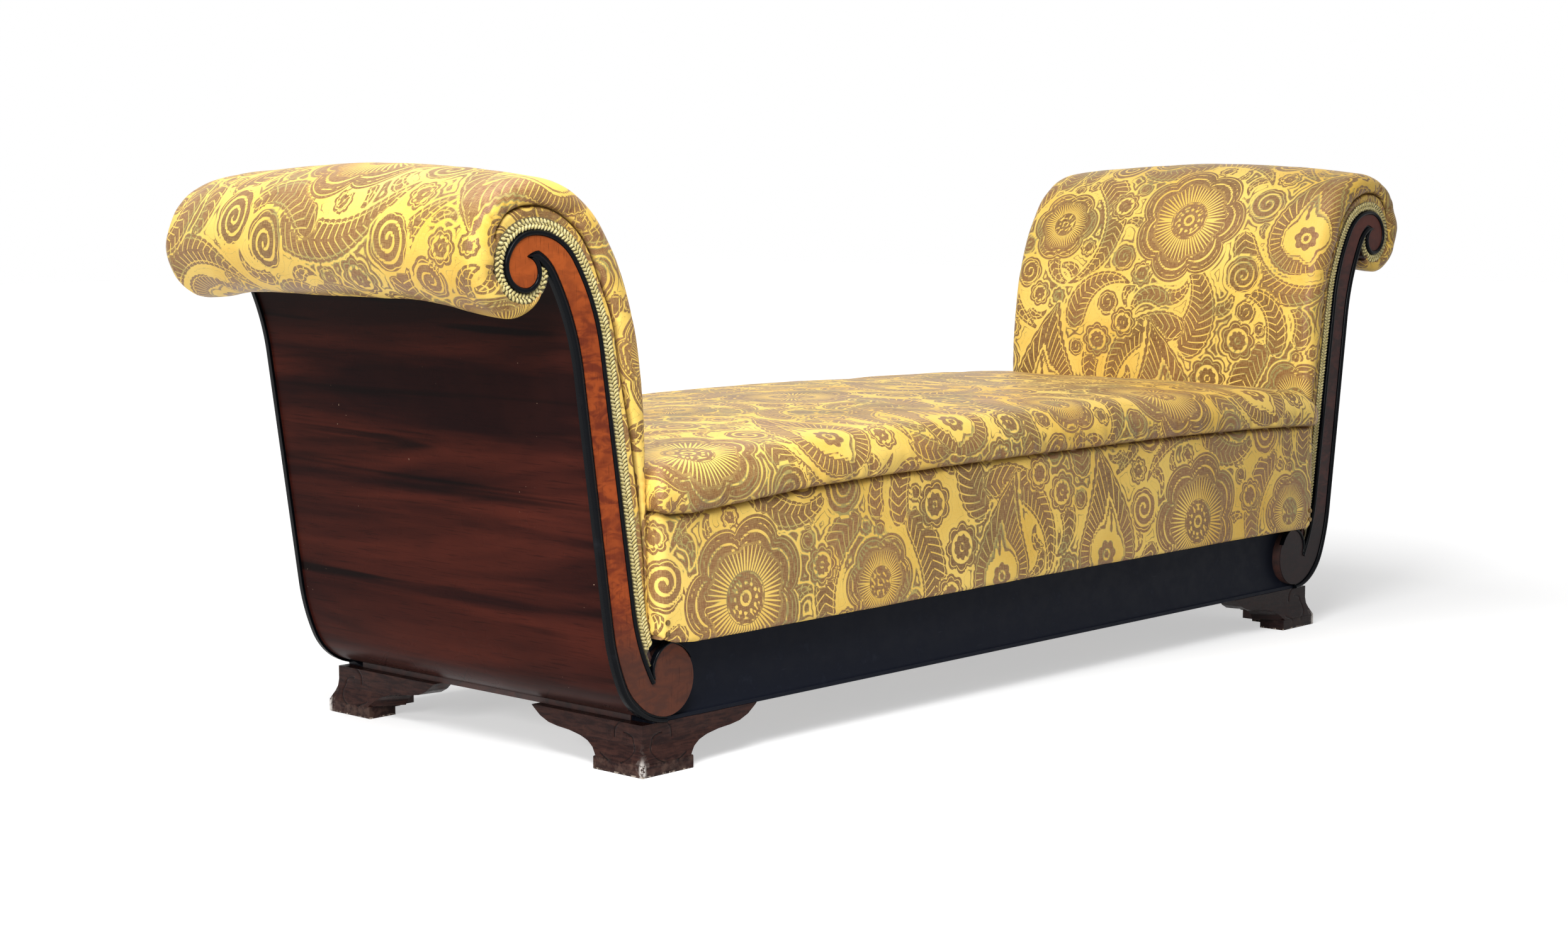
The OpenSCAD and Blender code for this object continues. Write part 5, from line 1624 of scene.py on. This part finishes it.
def plain_nodes():
    """Gives the carried-over nodes their finishes."""
    finishes = {
        BOARD: ["left_end_rail", "right_end_rail", "foot_blocks"],
        BEECH: ["cross_stretchers", "corner_blocks", "arm_roll_rails", "arm_mid_rails", "seat_long_rails",
                "seat_end_rails", "seat_cross_rails"],
        STEEL: ["foot_screws"],
        BRASS: ["corner_tacks"],
    }
    for material, names in finishes.items():
        for name in names:
            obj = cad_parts[name]
            for slot in obj.material_slots:
                slot.link = "OBJECT"
                slot.material = material


# Light, floor and camera


WORLD_LIGHT = 0.15
# Name, place, point lit, size in metres, watts and spread in degrees
LAMPS = [
    ("side", (-11.0, -2.8, 4.4), (0.4, 0, 0.5), (3.2, 3.2), 625, 180),
    ("key", (-2.2, -1.6, 2.5), (-1.1, -0.6, 0.2), (1.2, 1.2), 22, 90),
    ("top", (-0.8, 0.1, 3.0), (-0.3, 0, 0.4), (2.4, 2.0), 60, 180),
]


def hung(name, data, axes, place):
    """A lamp or camera at a place, with its own axes in these directions."""
    obj = bpy.data.objects.new(name, data)
    bpy.context.scene.collection.objects.link(obj)
    obj.matrix_world = Matrix([[*(axis[i] for axis in axes), place[i]] for i in range(3)] + [[0, 0, 0, 1]])
    return obj


def lamp(name, place, aim, size, power, spread):
    data = bpy.data.lights.new(name, "AREA")
    data.shape = "RECTANGLE"
    data.size, data.size_y = size
    data.energy = power
    data.spread = math.radians(spread)
    z = np.array(place, float) - np.array(aim, float)
    z /= np.linalg.norm(z)
    x = np.cross([0, 0, 1], z)
    x /= np.linalg.norm(x)
    return hung(name, data, (x, np.cross(z, x), z), place)


def stage():
    world = bpy.data.worlds.new("studio")
    bpy.context.scene.world = world
    p = Paint(world, "Background")
    p.finish(Color=(1, 1, 1), Strength=p.seen() * (1 - WORLD_LIGHT) + WORLD_LIGHT)

    bpy.ops.mesh.primitive_plane_add(size=1)
    floor = bpy.context.active_object
    floor.name = "floor"
    floor.scale = (30, 30, 1)
    p = Paint("floor_white")
    x, y, _ = p.split(p.node("ShaderNodeNewGeometry", "Position"))
    glow = p.ramp((x * x + y * y).math("SQRT"), 1.0, 3.2) * 0.45 + 0.5
    floor.data.materials.append(p.finish(
        Base_Color=(0.7, 0.7, 0.7), Roughness=0.9, Emission_Color=(1, 1, 1), Emission_Strength=p.seen() * glow
    ))
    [lamp(*row) for row in LAMPS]


CAMERA_PLACE = (-3.33546, -2.92981, 0.8265)
CAMERA_YAW = -46.98
CAMERA_PITCH = -6.32
CAMERA_ROLL = -0.13
CAMERA_LENS = 61.025


def camera():
    data = bpy.data.cameras.new("camera")
    data.sensor_fit = "HORIZONTAL"
    data.sensor_width = 36
    data.lens = CAMERA_LENS
    data.clip_end = 100
    yaw, pitch, roll = map(math.radians, (CAMERA_YAW, CAMERA_PITCH, CAMERA_ROLL))
    ahead = np.array([-math.sin(yaw) * math.cos(pitch), math.cos(yaw) * math.cos(pitch), math.sin(pitch)])
    right = np.cross(ahead, [0, 0, 1])
    right /= np.linalg.norm(right)
    up = np.cross(right, ahead)
    c, s = math.cos(roll), math.sin(roll)
    bpy.context.scene.camera = hung("camera", data, (c * right + s * up, c * up - s * right, -ahead), CAMERA_PLACE)
    bpy.context.scene.view_settings.view_transform = "Standard"


scroll_faces()
beads()
outer_panels()
long_rails()
arm_covers()
pad_borders()
gimps()
seat_cover()
front_borders()
end_borders()
feet()
seat_inside()
arm_inside()
plain_nodes()
stage()
camera()
